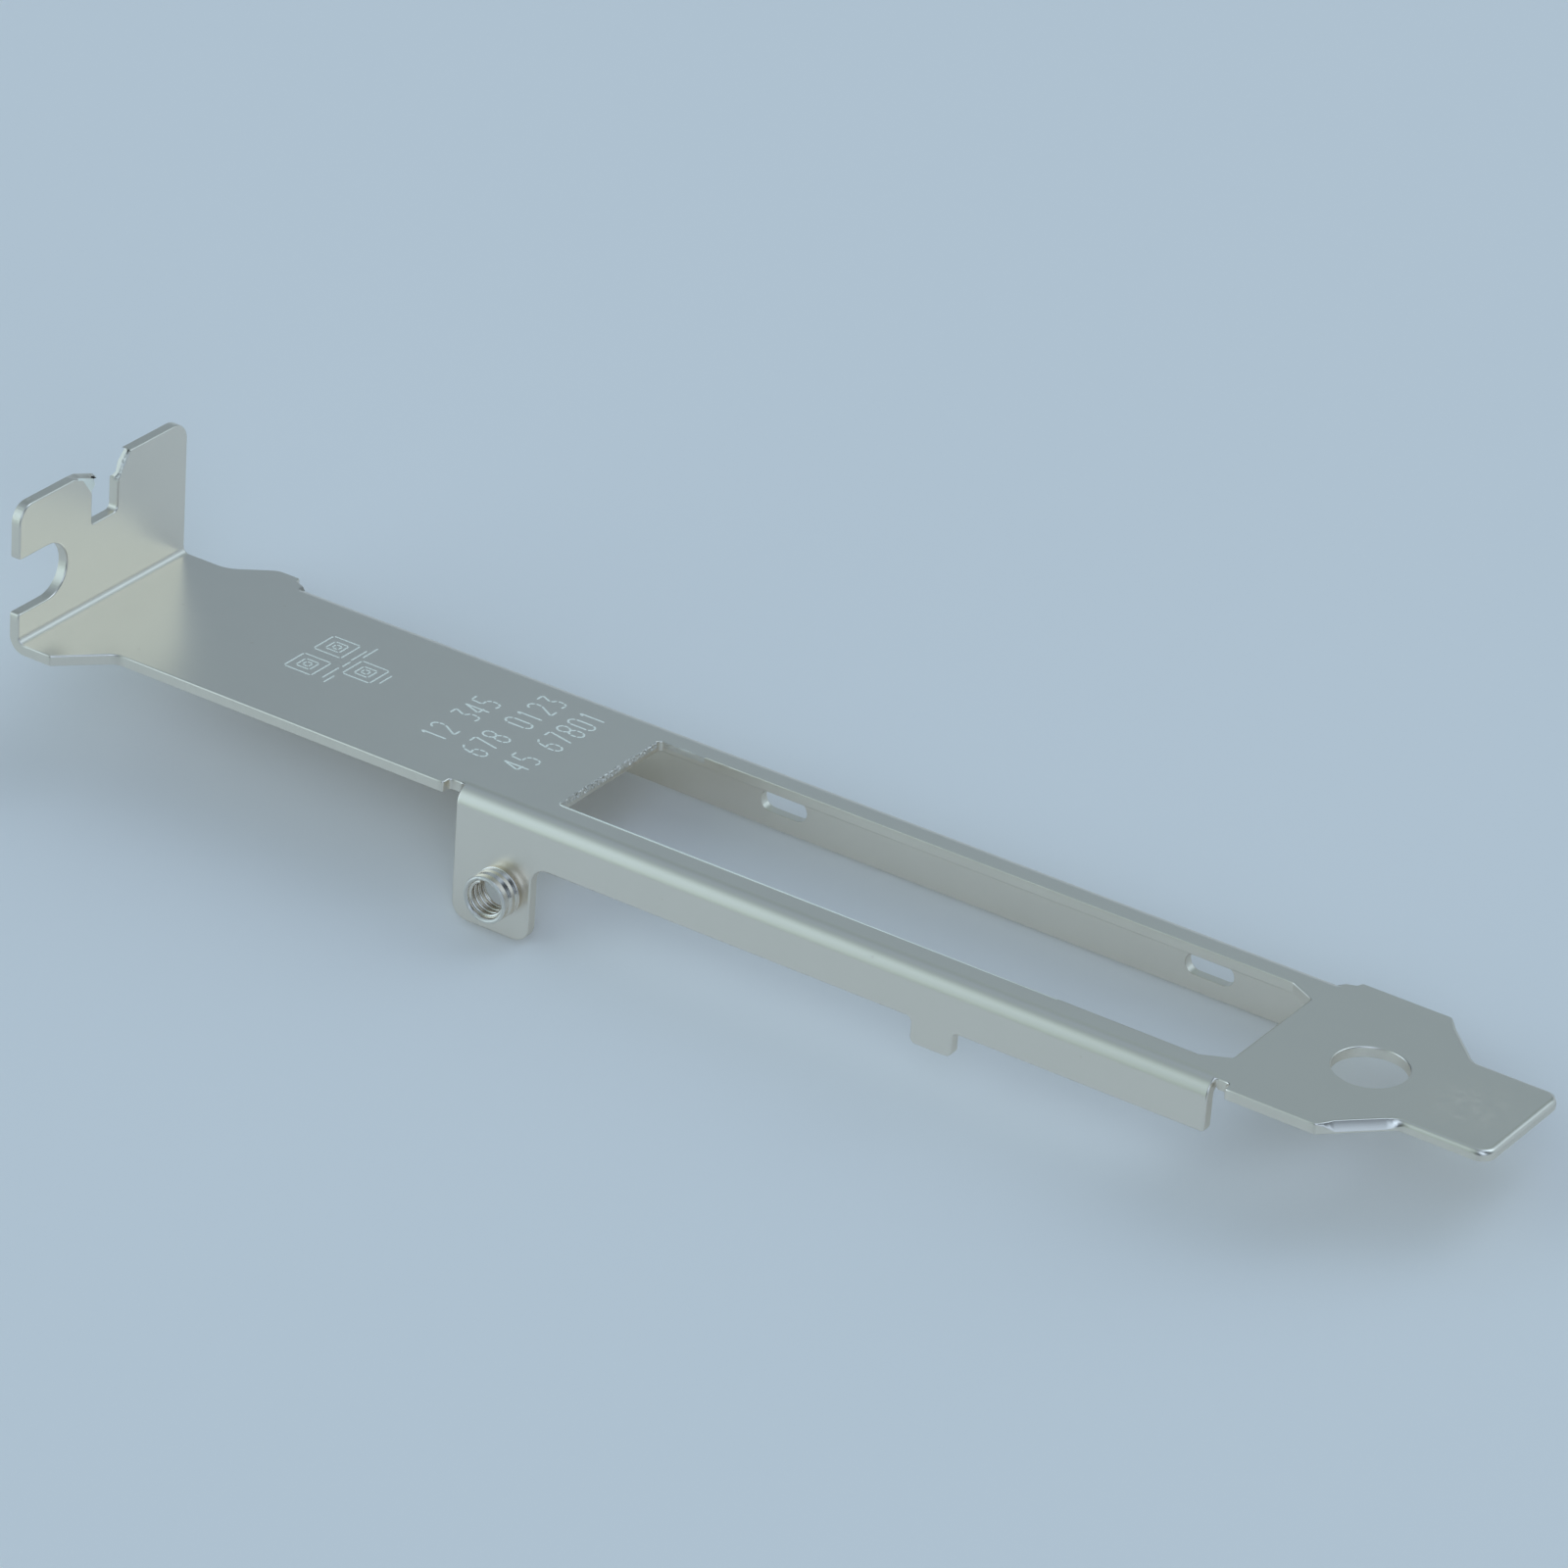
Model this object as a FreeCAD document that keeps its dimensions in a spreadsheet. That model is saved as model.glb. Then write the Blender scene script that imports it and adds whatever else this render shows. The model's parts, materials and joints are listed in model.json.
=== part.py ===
"""Full height expansion-slot bracket, folded from one piece of plated sheet steel.

The sheet is drawn flat first, in its own axes: X runs from the back of the screw tab to the
tip of the tongue, Y crosses the blade from the eared flange to the slotted flange, and Z = 0
is the outer face of the blade. The finished bracket is then laid down as it rests on a table,
on the lower edge of its ear and the lower edge of its slotted flange.
"""
import FreeCAD, Part
import Sketcher
import math
import os

NODE = "bracket"

# Driving dimensions in millimetres, with what each one measures
SIZES = [
    ("sheet_thickness", 0.86, "thickness of the sheet"),
    ("bend_radius", 0.5, "inside radius of every fold"),
    ("overall_length", 120.02, "back of the tab to the tip of the tongue"),
    ("blade_width", 18.42, "width across the plain edges of the blade"),
    ("tab_height", 11.0, "outer face of the blade to the top of the tab"),
    ("tab_width", 19.57, "width of the tab"),
    ("tab_overhang", 3.43, "tab edge beyond the blade on the eared side"),
    ("tab_corner_radius", 1.4, "upper corners of the tab"),
    ("screw_slot_width", 4.42, "open slot for the fixing screw"),
    ("screw_slot_depth", 5.53, "edge of the tab to the round end of the slot"),
    ("screw_slot_height", 4.55, "outer face of the blade to the middle of the slot"),
    ("notch_width", 3.0, "notch in the top of the tab"),
    ("notch_depth", 4.45, "top of the tab to the floor of the notch"),
    ("notch_place", 9.84, "eared edge of the tab to the middle of the notch"),
    ("notch_flare_width", 1.15, "widening of the notch mouth on each side"),
    ("notch_flare_height", 1.4, "height of that widening"),
    ("notch_corner_radius", 0.35, "floor corners of the notch"),
    ("head_near_length", 3.8, "back of the tab to the flare on the eared side"),
    ("near_flare_length", 3.5, "length of that flare"),
    ("head_far_length", 4.9, "back of the tab to the flare on the slotted side"),
    ("far_flare_length", 3.1, "length of that flare"),
    ("flare_radius", 1.5, "rounding where the flares meet the edges"),
    ("relief_width", 1.2, "relief cuts beside the folds"),
    ("foot_length", 19.32, "end of both flanges to the tip of the tongue"),
    ("near_flange_start", 38.0, "back of the tab to the eared flange"),
    ("near_flange_depth", 4.0, "outer face of the blade to the lower edge"),
    ("far_flange_start", 11.2, "back of the tab to the slotted flange"),
    ("far_flange_depth", 4.75, "outer face of the blade to the lower edge"),
    ("far_flange_inset", 0.5, "slotted flange inside the edge of the blade"),
    ("ear_width", 6.75, "width of the ear"),
    ("ear_depth", 10.4, "outer face of the blade to the lower edge of the ear"),
    ("ear_corner_radius", 1.3, "lower corners of the ear"),
    ("ear_root_radius", 1.4, "inside corner between ear and flange"),
    ("nub_place", 23.7, "locating nub to the end of the flange"),
    ("nub_width", 3.45, "width of the nub"),
    ("nub_depth", 6.0, "outer face of the blade to the end of the nub"),
    ("nub_corner_radius", 0.5, "corners of the nub"),
    ("window_start_gap", 0.25, "edge of the ear to the port window"),
    ("window_end_gap", 0.4, "port window to the end of the flanges"),
    ("window_near_strip", 2.75, "edge of the blade to the window, eared side"),
    ("window_far_strip", 3.2, "edge of the blade to the window, slotted side"),
    ("window_cut_length", 2.1, "cut corners of the window, along it"),
    ("window_cut_width", 1.1, "cut corners of the window, across it"),
    ("flange_slot_length", 3.95, "obround slots in the flange"),
    ("flange_slot_height", 1.6, "height of those slots"),
    ("flange_slot_depth", 2.65, "outer face of the blade to their middle"),
    ("first_slot_place", 9.7, "start of the window to the middle of the first slot"),
    ("second_slot_place", 10.1, "middle of the second slot to the end of the flange"),
    ("foot_hole_diameter", 5.4, "round hole in the foot"),
    ("foot_hole_place", 11.92, "middle of that hole to the tip of the tongue"),
    ("foot_hole_offset", 0.3, "middle of that hole towards the eared side"),
    ("tongue_width", 10.19, "width of the tongue"),
    ("tongue_length", 6.87, "shoulders to the tip of the tongue"),
    ("tongue_corner_radius", 1.0, "corners of the tip"),
    ("shoulder_radius", 1.0, "inside corners where the tongue meets the foot"),
    ("boss_place", 4.0, "edge of the ear to the axis of the threaded boss"),
    ("boss_depth", 7.0, "outer face of the blade to that axis"),
    ("boss_diameter", 3.5, "outside of the boss"),
    ("boss_height", 1.8, "boss beyond the outer face of the ear"),
    ("boss_root_radius", 0.15, "fillet at the foot of the boss"),
    ("boss_entry_radius", 0.35, "drawn entry on the inner face of the ear"),
    ("thread_bore_diameter", 2.5, "bore of the thread"),
    ("thread_mouth", 0.25, "chamfer at the mouth of the thread"),
]

# Places worked out from the driving dimensions, as expressions over the sheet
SHEET = "Sizes."
HALF = f"{SHEET}blade_width / 2"
FOLD = f"({SHEET}bend_radius + {SHEET}sheet_thickness)"
TAB_NEAR = f"(-{HALF} - {SHEET}tab_overhang)"
TAB_FAR = f"({TAB_NEAR} + {SHEET}tab_width)"
NEAR_FOLD = f"(-{HALF} + {FOLD})"
FAR_FACE = f"({HALF} - {SHEET}far_flange_inset)"
FAR_FOLD = f"({FAR_FACE} - {FOLD})"
FAR_RELIEF = f"({HALF} - {FOLD})"
SHOULDER = f"({SHEET}overall_length - {SHEET}tongue_length)"
FOOT_CORNER = f"({SHOULDER} - ({SHEET}blade_width - {SHEET}tongue_width) / 2)"
EAR_END = f"({SHEET}near_flange_start + {SHEET}ear_width)"
FLANGE_END = f"({SHEET}overall_length - {SHEET}foot_length)"
RELIEF_END = f"({FLANGE_END} + {SHEET}relief_width)"
NUB_START = f"({FLANGE_END} - {SHEET}nub_place)"
NUB_END = f"({NUB_START} + {SHEET}nub_width)"
WINDOW_START = f"({EAR_END} + {SHEET}window_start_gap)"
WINDOW_END = f"({FLANGE_END} - {SHEET}window_end_gap)"
FIRST_SLOT = f"({WINDOW_START} + {SHEET}first_slot_place)"
SECOND_SLOT = f"({FLANGE_END} - {SHEET}second_slot_place)"
HOLE_PLACE = f"({SHEET}overall_length - {SHEET}foot_hole_place)"
WINDOW_NEAR = f"(-{HALF} + {SHEET}window_near_strip)"
WINDOW_FAR = f"({HALF} - {SHEET}window_far_strip)"
NOTCH_MIDDLE = f"({TAB_NEAR} + {SHEET}notch_place)"
NOTCH_NEAR = f"({NOTCH_MIDDLE} - {SHEET}notch_width / 2)"
NOTCH_FAR = f"({NOTCH_MIDDLE} + {SHEET}notch_width / 2)"
NOTCH_FLOOR = f"({SHEET}tab_height - {SHEET}notch_depth)"
NOTCH_FLARE = f"({SHEET}tab_height - {SHEET}notch_flare_height)"
SLOT_ROUND = f"({TAB_NEAR} + {SHEET}screw_slot_depth - {SHEET}screw_slot_width / 2)"
SLOT_TOP = f"({SHEET}screw_slot_height + {SHEET}screw_slot_width / 2)"
SLOT_BOTTOM = f"({SHEET}screw_slot_height - {SHEET}screw_slot_width / 2)"
BOSS_AXIS = f"({SHEET}near_flange_start + {SHEET}boss_place)"

doc = FreeCAD.newDocument("Bracket")
sheet = doc.addObject("Spreadsheet::Sheet", "Sizes")
for row, (alias, size, meaning) in enumerate(SIZES, start=1):
    sheet.set(f"A{row}", alias)
    sheet.set(f"B{row}", str(size))
    sheet.set(f"C{row}", meaning)
    sheet.setAlias(f"B{row}", alias)
doc.recompute()

body = doc.addObject("PartDesign::Body", "Bracket")
body.Label = NODE


def value(expression):
    """Number that an expression over the sheet gives, in millimetres."""
    number = sheet.evalExpression(expression)
    return float(getattr(number, "Value", number))


def new_sketch(name, role, offset="0"):
    """Sketch on one of the body's origin planes, moved along the plane's normal."""
    plane = [part for part in body.Origin.OriginFeatures if part.Role == role][0]
    sketch = body.newObject("Sketcher::SketchObject", name)
    sketch.AttachmentSupport = [(plane, "")]
    sketch.MapMode = "FlatFace"
    sketch.setExpression("AttachmentOffset.Base.z", offset)
    return sketch


def bind(sketch, kind, references, expression):
    """Adds a dimension to a sketch and ties it to the sheet."""
    index = sketch.addConstraint(Sketcher.Constraint(kind, *references, value(expression)))
    sketch.setExpression(f"Constraints[{index}]", expression)


def bind_point(sketch, element, point, place):
    """Ties one point of a sketch element to a pair of expressions."""
    for kind, expression in zip(("DistanceX", "DistanceY"), place):
        bind(sketch, kind, (-1, 1, element, point), expression)


def add_outline(sketch, corners):
    """Closed outline of straight edges, with every corner tied to the sheet."""
    spots = [FreeCAD.Vector(value(across), value(up), 0) for across, up in corners]
    ends = spots[1:] + spots[:1]
    first = sketch.GeometryCount
    for start, end in zip(spots, ends):
        sketch.addGeometry(Part.LineSegment(start, end), False)
    for step, corner in enumerate(corners):
        before = first + (step - 1) % len(corners)
        sketch.addConstraint(Sketcher.Constraint("Coincident", before, 2, first + step, 1))
        bind_point(sketch, first + step, 1, corner)
    return first


def add_circle(sketch, centre, diameter):
    """Circle whose centre and diameter are tied to the sheet."""
    spot = FreeCAD.Vector(value(centre[0]), value(centre[1]), 0)
    circle = Part.Circle(spot, FreeCAD.Vector(0, 0, 1), value(diameter) / 2)
    element = sketch.addGeometry(circle, False)
    bind_point(sketch, element, 3, centre)
    bind(sketch, "Diameter", (element,), diameter)


def add_arc(sketch, centre, radius, start, end, aligned):
    """Arc about a tied centre, whose two ends stand upright or level with that centre."""
    spot = FreeCAD.Vector(value(centre[0]), value(centre[1]), 0)
    circle = Part.Circle(spot, FreeCAD.Vector(0, 0, 1), value(radius))
    element = sketch.addGeometry(Part.ArcOfCircle(circle, math.radians(start), math.radians(end)), False)
    bind_point(sketch, element, 3, centre)
    bind(sketch, "Radius", (element,), radius)
    for point, direction in zip((1, 2), aligned):
        sketch.addConstraint(Sketcher.Constraint(direction, element, 3, element, point))
    return element


def add_line(sketch, first, last):
    """Straight edge between two points that other elements already hold."""
    spots = [sketch.getPoint(*first), sketch.getPoint(*last)]
    element = sketch.addGeometry(Part.LineSegment(*spots), False)
    sketch.addConstraint(Sketcher.Constraint("Coincident", element, 1, *first))
    sketch.addConstraint(Sketcher.Constraint("Coincident", element, 2, *last))


def add_fold(sketch, centre, start, aligned):
    """Quarter ring of sheet round a fold's centre, from one angle on for a right angle."""
    outer = add_arc(sketch, centre, FOLD, start, start + 90, aligned)
    inner = add_arc(sketch, centre, f"{SHEET}bend_radius", start, start + 90, aligned)
    add_line(sketch, (outer, 1), (inner, 1))
    add_line(sketch, (outer, 2), (inner, 2))


def add_obround(sketch, centre, length, height):
    """Slot with two round ends, level in its sketch."""
    reach = f"({length} - {height}) / 2"
    upright = ("Vertical", "Vertical")
    right = add_arc(sketch, (f"{centre[0]} + {reach}", centre[1]), f"{height} / 2", -90, 90, upright)
    left = add_arc(sketch, (f"{centre[0]} - {reach}", centre[1]), f"{height} / 2", 90, 270, upright)
    add_line(sketch, (right, 2), (left, 1))
    add_line(sketch, (left, 2), (right, 1))


def pad(name, sketch, length, reverse=False):
    """Adds the thickness of a sketch to the body."""
    feature = body.newObject("PartDesign::Pad", name)
    feature.Profile = sketch
    feature.Reversed = reverse
    feature.setExpression("Length", length)
    doc.recompute()
    return feature


def find_edges(feature, places):
    """Names of the edges of a feature whose middles lie at the given places."""
    names = []
    for place in places:
        target = FreeCAD.Vector(*[value(part) for part in place])
        gaps = [(edge.CenterOfMass - target).Length for edge in feature.Shape.Edges]
        names.append(f"Edge{gaps.index(min(gaps)) + 1}")
    return names


def dress(kind, name, size, places):
    """Rounds or bevels the edges of the body's last feature that lie at the given places."""
    base = body.Tip
    feature = body.newObject(f"PartDesign::{kind}", name)
    feature.Base = (base, find_edges(base, places))
    feature.setExpression("Radius" if kind == "Fillet" else "Size", size)
    doc.recompute()
    return feature


# Blade, foot and tongue: one flat blank with the port window and the foot hole
blade = new_sketch("BladeOutline", "XY_Plane")
add_outline(blade, [
    (FOLD, TAB_NEAR),
    (f"{SHEET}head_near_length", TAB_NEAR),
    (f"{SHEET}head_near_length + {SHEET}near_flare_length", f"-{HALF}"),
    (f"{SHEET}near_flange_start - {SHEET}relief_width", f"-{HALF}"),
    (f"{SHEET}near_flange_start - {SHEET}relief_width", NEAR_FOLD),
    (RELIEF_END, NEAR_FOLD),
    (RELIEF_END, f"-{HALF}"),
    (FOOT_CORNER, f"-{HALF}"),
    (SHOULDER, f"-{SHEET}tongue_width / 2"),
    (f"{SHEET}overall_length", f"-{SHEET}tongue_width / 2"),
    (f"{SHEET}overall_length", f"{SHEET}tongue_width / 2"),
    (SHOULDER, f"{SHEET}tongue_width / 2"),
    (FOOT_CORNER, HALF),
    (RELIEF_END, HALF),
    (RELIEF_END, FAR_RELIEF),
    (FLANGE_END, FAR_RELIEF),
    (FLANGE_END, FAR_FOLD),
    (f"{SHEET}far_flange_start", FAR_FOLD),
    (f"{SHEET}far_flange_start", FAR_RELIEF),
    (f"{SHEET}far_flange_start - {SHEET}relief_width", FAR_RELIEF),
    (f"{SHEET}far_flange_start - {SHEET}relief_width", HALF),
    (f"{SHEET}head_far_length + {SHEET}far_flare_length", HALF),
    (f"{SHEET}head_far_length", TAB_FAR),
    (FOLD, TAB_FAR),
])
add_outline(blade, [
    (WINDOW_START, WINDOW_NEAR),
    (f"{WINDOW_END} - {SHEET}window_cut_length", WINDOW_NEAR),
    (WINDOW_END, f"{WINDOW_NEAR} + {SHEET}window_cut_width"),
    (WINDOW_END, f"{WINDOW_FAR} - {SHEET}window_cut_width"),
    (f"{WINDOW_END} - {SHEET}window_cut_length", WINDOW_FAR),
    (WINDOW_START, WINDOW_FAR),
])
add_circle(blade, (HOLE_PLACE, f"-{SHEET}foot_hole_offset"), f"{SHEET}foot_hole_diameter")
pad("Blade", blade, f"{SHEET}sheet_thickness", reverse=True)

# Screw tab, folded up at the head of the blade
tab_fold = new_sketch("TabFoldSection", "XZ_Plane", f"-{TAB_FAR}")
add_fold(tab_fold, (FOLD, f"{SHEET}bend_radius"), 180, ("Horizontal", "Vertical"))
pad("TabFold", tab_fold, f"{SHEET}tab_width")

tab = new_sketch("TabOutline", "YZ_Plane")
slot_end = add_arc(tab, (SLOT_ROUND, f"{SHEET}screw_slot_height"), f"{SHEET}screw_slot_width / 2",
                   -90, 90, ("Vertical", "Vertical"))
tab_edge = [
    (SLOT_ROUND, SLOT_BOTTOM),
    (TAB_NEAR, SLOT_BOTTOM),
    (TAB_NEAR, f"{SHEET}bend_radius"),
    (TAB_FAR, f"{SHEET}bend_radius"),
    (TAB_FAR, f"{SHEET}tab_height"),
    (f"{NOTCH_FAR} + {SHEET}notch_flare_width", f"{SHEET}tab_height"),
    (NOTCH_FAR, NOTCH_FLARE),
    (NOTCH_FAR, NOTCH_FLOOR),
    (NOTCH_NEAR, NOTCH_FLOOR),
    (NOTCH_NEAR, NOTCH_FLARE),
    (f"{NOTCH_NEAR} - {SHEET}notch_flare_width", f"{SHEET}tab_height"),
    (TAB_NEAR, f"{SHEET}tab_height"),
    (TAB_NEAR, SLOT_TOP),
    (SLOT_ROUND, SLOT_TOP),
]
previous = (slot_end, 1)
for corner, following in zip(tab_edge[:-1], tab_edge[1:]):
    spots = [FreeCAD.Vector(value(across), value(up), 0) for across, up in (corner, following)]
    edge = tab.addGeometry(Part.LineSegment(*spots), False)
    tab.addConstraint(Sketcher.Constraint("Coincident", *previous, edge, 1))
    if following is not tab_edge[-1]:
        bind_point(tab, edge, 2, following)
    previous = (edge, 2)
tab.addConstraint(Sketcher.Constraint("Coincident", *previous, slot_end, 2))
pad("Tab", tab, f"{SHEET}sheet_thickness")

# Eared flange, folded down, with its ear and its locating nub
near_fold = new_sketch("NearFoldSection", "YZ_Plane", f"{SHEET}near_flange_start")
add_fold(near_fold, (NEAR_FOLD, f"-{FOLD}"), 90, ("Vertical", "Horizontal"))
pad("NearFold", near_fold, f"{FLANGE_END} - {SHEET}near_flange_start")

near_flange = new_sketch("NearFlangeOutline", "XZ_Plane", HALF)
add_outline(near_flange, [
    (f"{SHEET}near_flange_start", f"-{FOLD}"),
    (f"{SHEET}near_flange_start", f"-{SHEET}ear_depth"),
    (EAR_END, f"-{SHEET}ear_depth"),
    (EAR_END, f"-{SHEET}near_flange_depth"),
    (NUB_START, f"-{SHEET}near_flange_depth"),
    (NUB_START, f"-{SHEET}nub_depth"),
    (NUB_END, f"-{SHEET}nub_depth"),
    (NUB_END, f"-{SHEET}near_flange_depth"),
    (FLANGE_END, f"-{SHEET}near_flange_depth"),
    (FLANGE_END, f"-{FOLD}"),
])
pad("NearFlange", near_flange, f"{SHEET}sheet_thickness", reverse=True)

# Slotted flange, folded down on the other side
far_fold = new_sketch("FarFoldSection", "YZ_Plane", f"{SHEET}far_flange_start")
add_fold(far_fold, (FAR_FOLD, f"-{FOLD}"), 0, ("Horizontal", "Vertical"))
pad("FarFold", far_fold, f"{FLANGE_END} - {SHEET}far_flange_start")

far_flange = new_sketch("FarFlangeOutline", "XZ_Plane", f"-{FAR_FACE}")
add_outline(far_flange, [
    (f"{SHEET}far_flange_start", f"-{FOLD}"),
    (f"{SHEET}far_flange_start", f"-{SHEET}far_flange_depth"),
    (FLANGE_END, f"-{SHEET}far_flange_depth"),
    (FLANGE_END, f"-{FOLD}"),
])
for place in (FIRST_SLOT, SECOND_SLOT):
    middle = (place, f"-{SHEET}flange_slot_depth")
    add_obround(far_flange, middle, f"{SHEET}flange_slot_length", f"{SHEET}flange_slot_height")
pad("FarFlange", far_flange, f"{SHEET}sheet_thickness")

# Threaded boss, drawn outwards from the ear
boss_centre = (BOSS_AXIS, f"-{SHEET}boss_depth")
boss = new_sketch("BossOutline", "XZ_Plane", HALF)
add_circle(boss, boss_centre, f"{SHEET}boss_diameter")
pad("Boss", boss, f"{SHEET}boss_height")

bore = new_sketch("BoreOutline", "XZ_Plane", f"{HALF} + {SHEET}boss_height")
add_circle(bore, boss_centre, f"{SHEET}thread_bore_diameter")
solid_before = body.Tip.Shape.Volume
bore_cut = body.newObject("PartDesign::Pocket", "Bore")
bore_cut.Profile = bore
bore_cut.setExpression("Length", f"{SHEET}boss_height + {SHEET}sheet_thickness")
doc.recompute()
bore_area = math.pi * value(f"{SHEET}thread_bore_diameter / 2") ** 2
bore_volume = bore_area * value(f"{SHEET}boss_height + {SHEET}sheet_thickness")
if abs(solid_before - bore_cut.Shape.Volume - bore_volume) > 0.01 * bore_volume:
    raise RuntimeError("the bore did not pass through the boss and the ear")

boss_level = f"-{SHEET}boss_depth"
EAR_INNER = f"(-{HALF} + {SHEET}sheet_thickness)"
dress("Chamfer", "ThreadMouth", f"{SHEET}thread_mouth",
      [(BOSS_AXIS, f"-{HALF} - {SHEET}boss_height", boss_level)])
dress("Fillet", "BossRoot", f"{SHEET}boss_root_radius", [(BOSS_AXIS, f"-{HALF}", boss_level)])
dress("Fillet", "BossEntry", f"{SHEET}boss_entry_radius", [(BOSS_AXIS, EAR_INNER, boss_level)])

# Rounded corners of the blank
MID_SHEET = f"-{SHEET}sheet_thickness / 2"
MID_TAB = f"{SHEET}sheet_thickness / 2"
MID_EAR = f"(-{HALF} + {SHEET}sheet_thickness / 2)"
dress("Fillet", "TabCorners", f"{SHEET}tab_corner_radius", [
    (MID_TAB, TAB_NEAR, f"{SHEET}tab_height"),
    (MID_TAB, TAB_FAR, f"{SHEET}tab_height"),
])
dress("Fillet", "NotchCorners", f"{SHEET}notch_corner_radius", [
    (MID_TAB, NOTCH_NEAR, NOTCH_FLOOR),
    (MID_TAB, NOTCH_FAR, NOTCH_FLOOR),
])
dress("Fillet", "FlareCorners", f"{SHEET}flare_radius", [
    (f"{SHEET}head_near_length + {SHEET}near_flare_length", f"-{HALF}", MID_SHEET),
    (f"{SHEET}head_far_length + {SHEET}far_flare_length", HALF, MID_SHEET),
    (f"{SHEET}head_far_length", TAB_FAR, MID_SHEET),
])
dress("Fillet", "TongueCorners", f"{SHEET}tongue_corner_radius", [
    (f"{SHEET}overall_length", f"-{SHEET}tongue_width / 2", MID_SHEET),
    (f"{SHEET}overall_length", f"{SHEET}tongue_width / 2", MID_SHEET),
])
dress("Fillet", "Shoulders", f"{SHEET}shoulder_radius", [
    (SHOULDER, f"-{SHEET}tongue_width / 2", MID_SHEET),
    (SHOULDER, f"{SHEET}tongue_width / 2", MID_SHEET),
])
dress("Fillet", "EarCorners", f"{SHEET}ear_corner_radius", [
    (f"{SHEET}near_flange_start", MID_EAR, f"-{SHEET}ear_depth"),
    (EAR_END, MID_EAR, f"-{SHEET}ear_depth"),
])
dress("Fillet", "EarRoot", f"{SHEET}ear_root_radius", [(EAR_END, MID_EAR, f"-{SHEET}near_flange_depth")])
dress("Fillet", "NubCorners", f"{SHEET}nub_corner_radius", [
    (NUB_START, MID_EAR, f"-{SHEET}nub_depth"),
    (NUB_END, MID_EAR, f"-{SHEET}nub_depth"),
])

# Resting place: level on the inner lower edge of the ear and the outer lower edge of the
# slotted flange, with the middle of the bracket's footprint over the origin
rise = value(f"{SHEET}ear_depth - {SHEET}far_flange_depth")
span = value(f"{FAR_FACE} - {EAR_INNER}")
roll = FreeCAD.Rotation(FreeCAD.Vector(1, 0, 0), -math.degrees(math.atan2(rise, span)))
body.Placement = FreeCAD.Placement(FreeCAD.Vector(0, 0, 0), roll)
doc.recompute()
box = body.Shape.BoundBox
shift = FreeCAD.Vector(-box.Center.x, -box.Center.y, -box.ZMin)
body.Placement = FreeCAD.Placement(shift, roll)
doc.recompute()

# Nothing is written unless every object is sound
for part in doc.Objects:
    if "Invalid" in part.State or "Error" in part.State:
        raise RuntimeError(f"{part.Name} failed: {part.State}")
shape = body.Shape
if shape.isNull() or not shape.isValid() or len(shape.Solids) != 1:
    raise RuntimeError("the bracket is not one sound solid")

os.makedirs("parts", exist_ok=True)
shape.exportStep(f"parts/{body.Label}.step")
print(f"{body.Label}: {shape.Volume:.2f} cubic mm, box {shape.BoundBox}")
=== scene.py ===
"""A dressed full height expansion slot bracket: one blanked and folded sheet with a threaded boss.

The sheet is drawn as a flat blank in millimetres, given its thickness and rolled edges, and then folded:
the screw tab goes up and the two side flanges go down. The blade's outer face lies at z = 0, the tab is at
the low end of x and the eared flange is on the low side of y. Everything is turned into the rest pose, in
metres, when it becomes a mesh.
"""

from __future__ import annotations

import json
import logging
import math
from dataclasses import dataclass, field
from enum import Enum, IntEnum

import bpy
import numpy as np
from mathutils import Matrix, Vector
from mathutils.geometry import delaunay_2d_cdt


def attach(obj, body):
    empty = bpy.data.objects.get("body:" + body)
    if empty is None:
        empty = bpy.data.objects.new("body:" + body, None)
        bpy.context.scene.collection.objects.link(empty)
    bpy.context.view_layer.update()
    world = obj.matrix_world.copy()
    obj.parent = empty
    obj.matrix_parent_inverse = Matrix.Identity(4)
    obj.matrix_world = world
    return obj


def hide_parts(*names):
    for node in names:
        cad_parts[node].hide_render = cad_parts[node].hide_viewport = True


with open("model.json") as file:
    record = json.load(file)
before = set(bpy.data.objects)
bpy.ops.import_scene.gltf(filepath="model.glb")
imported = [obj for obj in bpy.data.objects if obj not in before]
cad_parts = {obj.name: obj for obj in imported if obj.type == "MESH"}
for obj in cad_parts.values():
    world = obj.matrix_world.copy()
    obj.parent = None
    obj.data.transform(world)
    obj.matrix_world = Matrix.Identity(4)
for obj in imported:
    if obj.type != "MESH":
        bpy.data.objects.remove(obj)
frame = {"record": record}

LOG = logging.getLogger("bracket")
MM = 0.001
NODE = "bracket"
BODY = "root"
SEED = 11
# Lengths that count as nothing, in a sum and between two spots of a face, in millimetres
TINY = 1e-6
HAIR = 1e-4
SQUARE = ((-1, -1), (1, -1), (1, 1), (-1, 1))

Pair = tuple[float, float]
Point = tuple[float, float]
Triple = tuple[float, float, float]
Line = tuple[Point, Point]
Rows = list[tuple[float, ...]]
Slice = tuple[np.ndarray, np.ndarray, float | np.ndarray, float]
Nodes = bpy.types.Nodes
Links = bpy.types.NodeLinks
Socket = bpy.types.NodeSocket


class Part(IntEnum):
    """Order of the finishes on the sheet's mesh."""

    FACE = 0
    EDGE = 1
    # A painted highlight: the near-white matte finish given to struck grooves, the beaten corner facet and
    # the window's burr
    MARK = 2
    TORN = 3


class Side(Enum):
    """The two faces of the sheet."""

    OUTER = "outer"
    INNER = "inner"


class Level(IntEnum):
    """Places in a wall's slices, counted from the outer face, where its finish changes."""

    ROLL = 2
    TORN = 5
    BURR = 6


# Helpers


def stand(name: str, data: bpy.types.ID) -> bpy.types.Object:
    """A new object in the scene.

    Args:
        name: Its name.
        data: Its mesh or camera.

    Returns:
        The object.
    """
    made = bpy.data.objects.new(name, data)
    bpy.context.scene.collection.objects.link(made)
    return made


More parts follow.
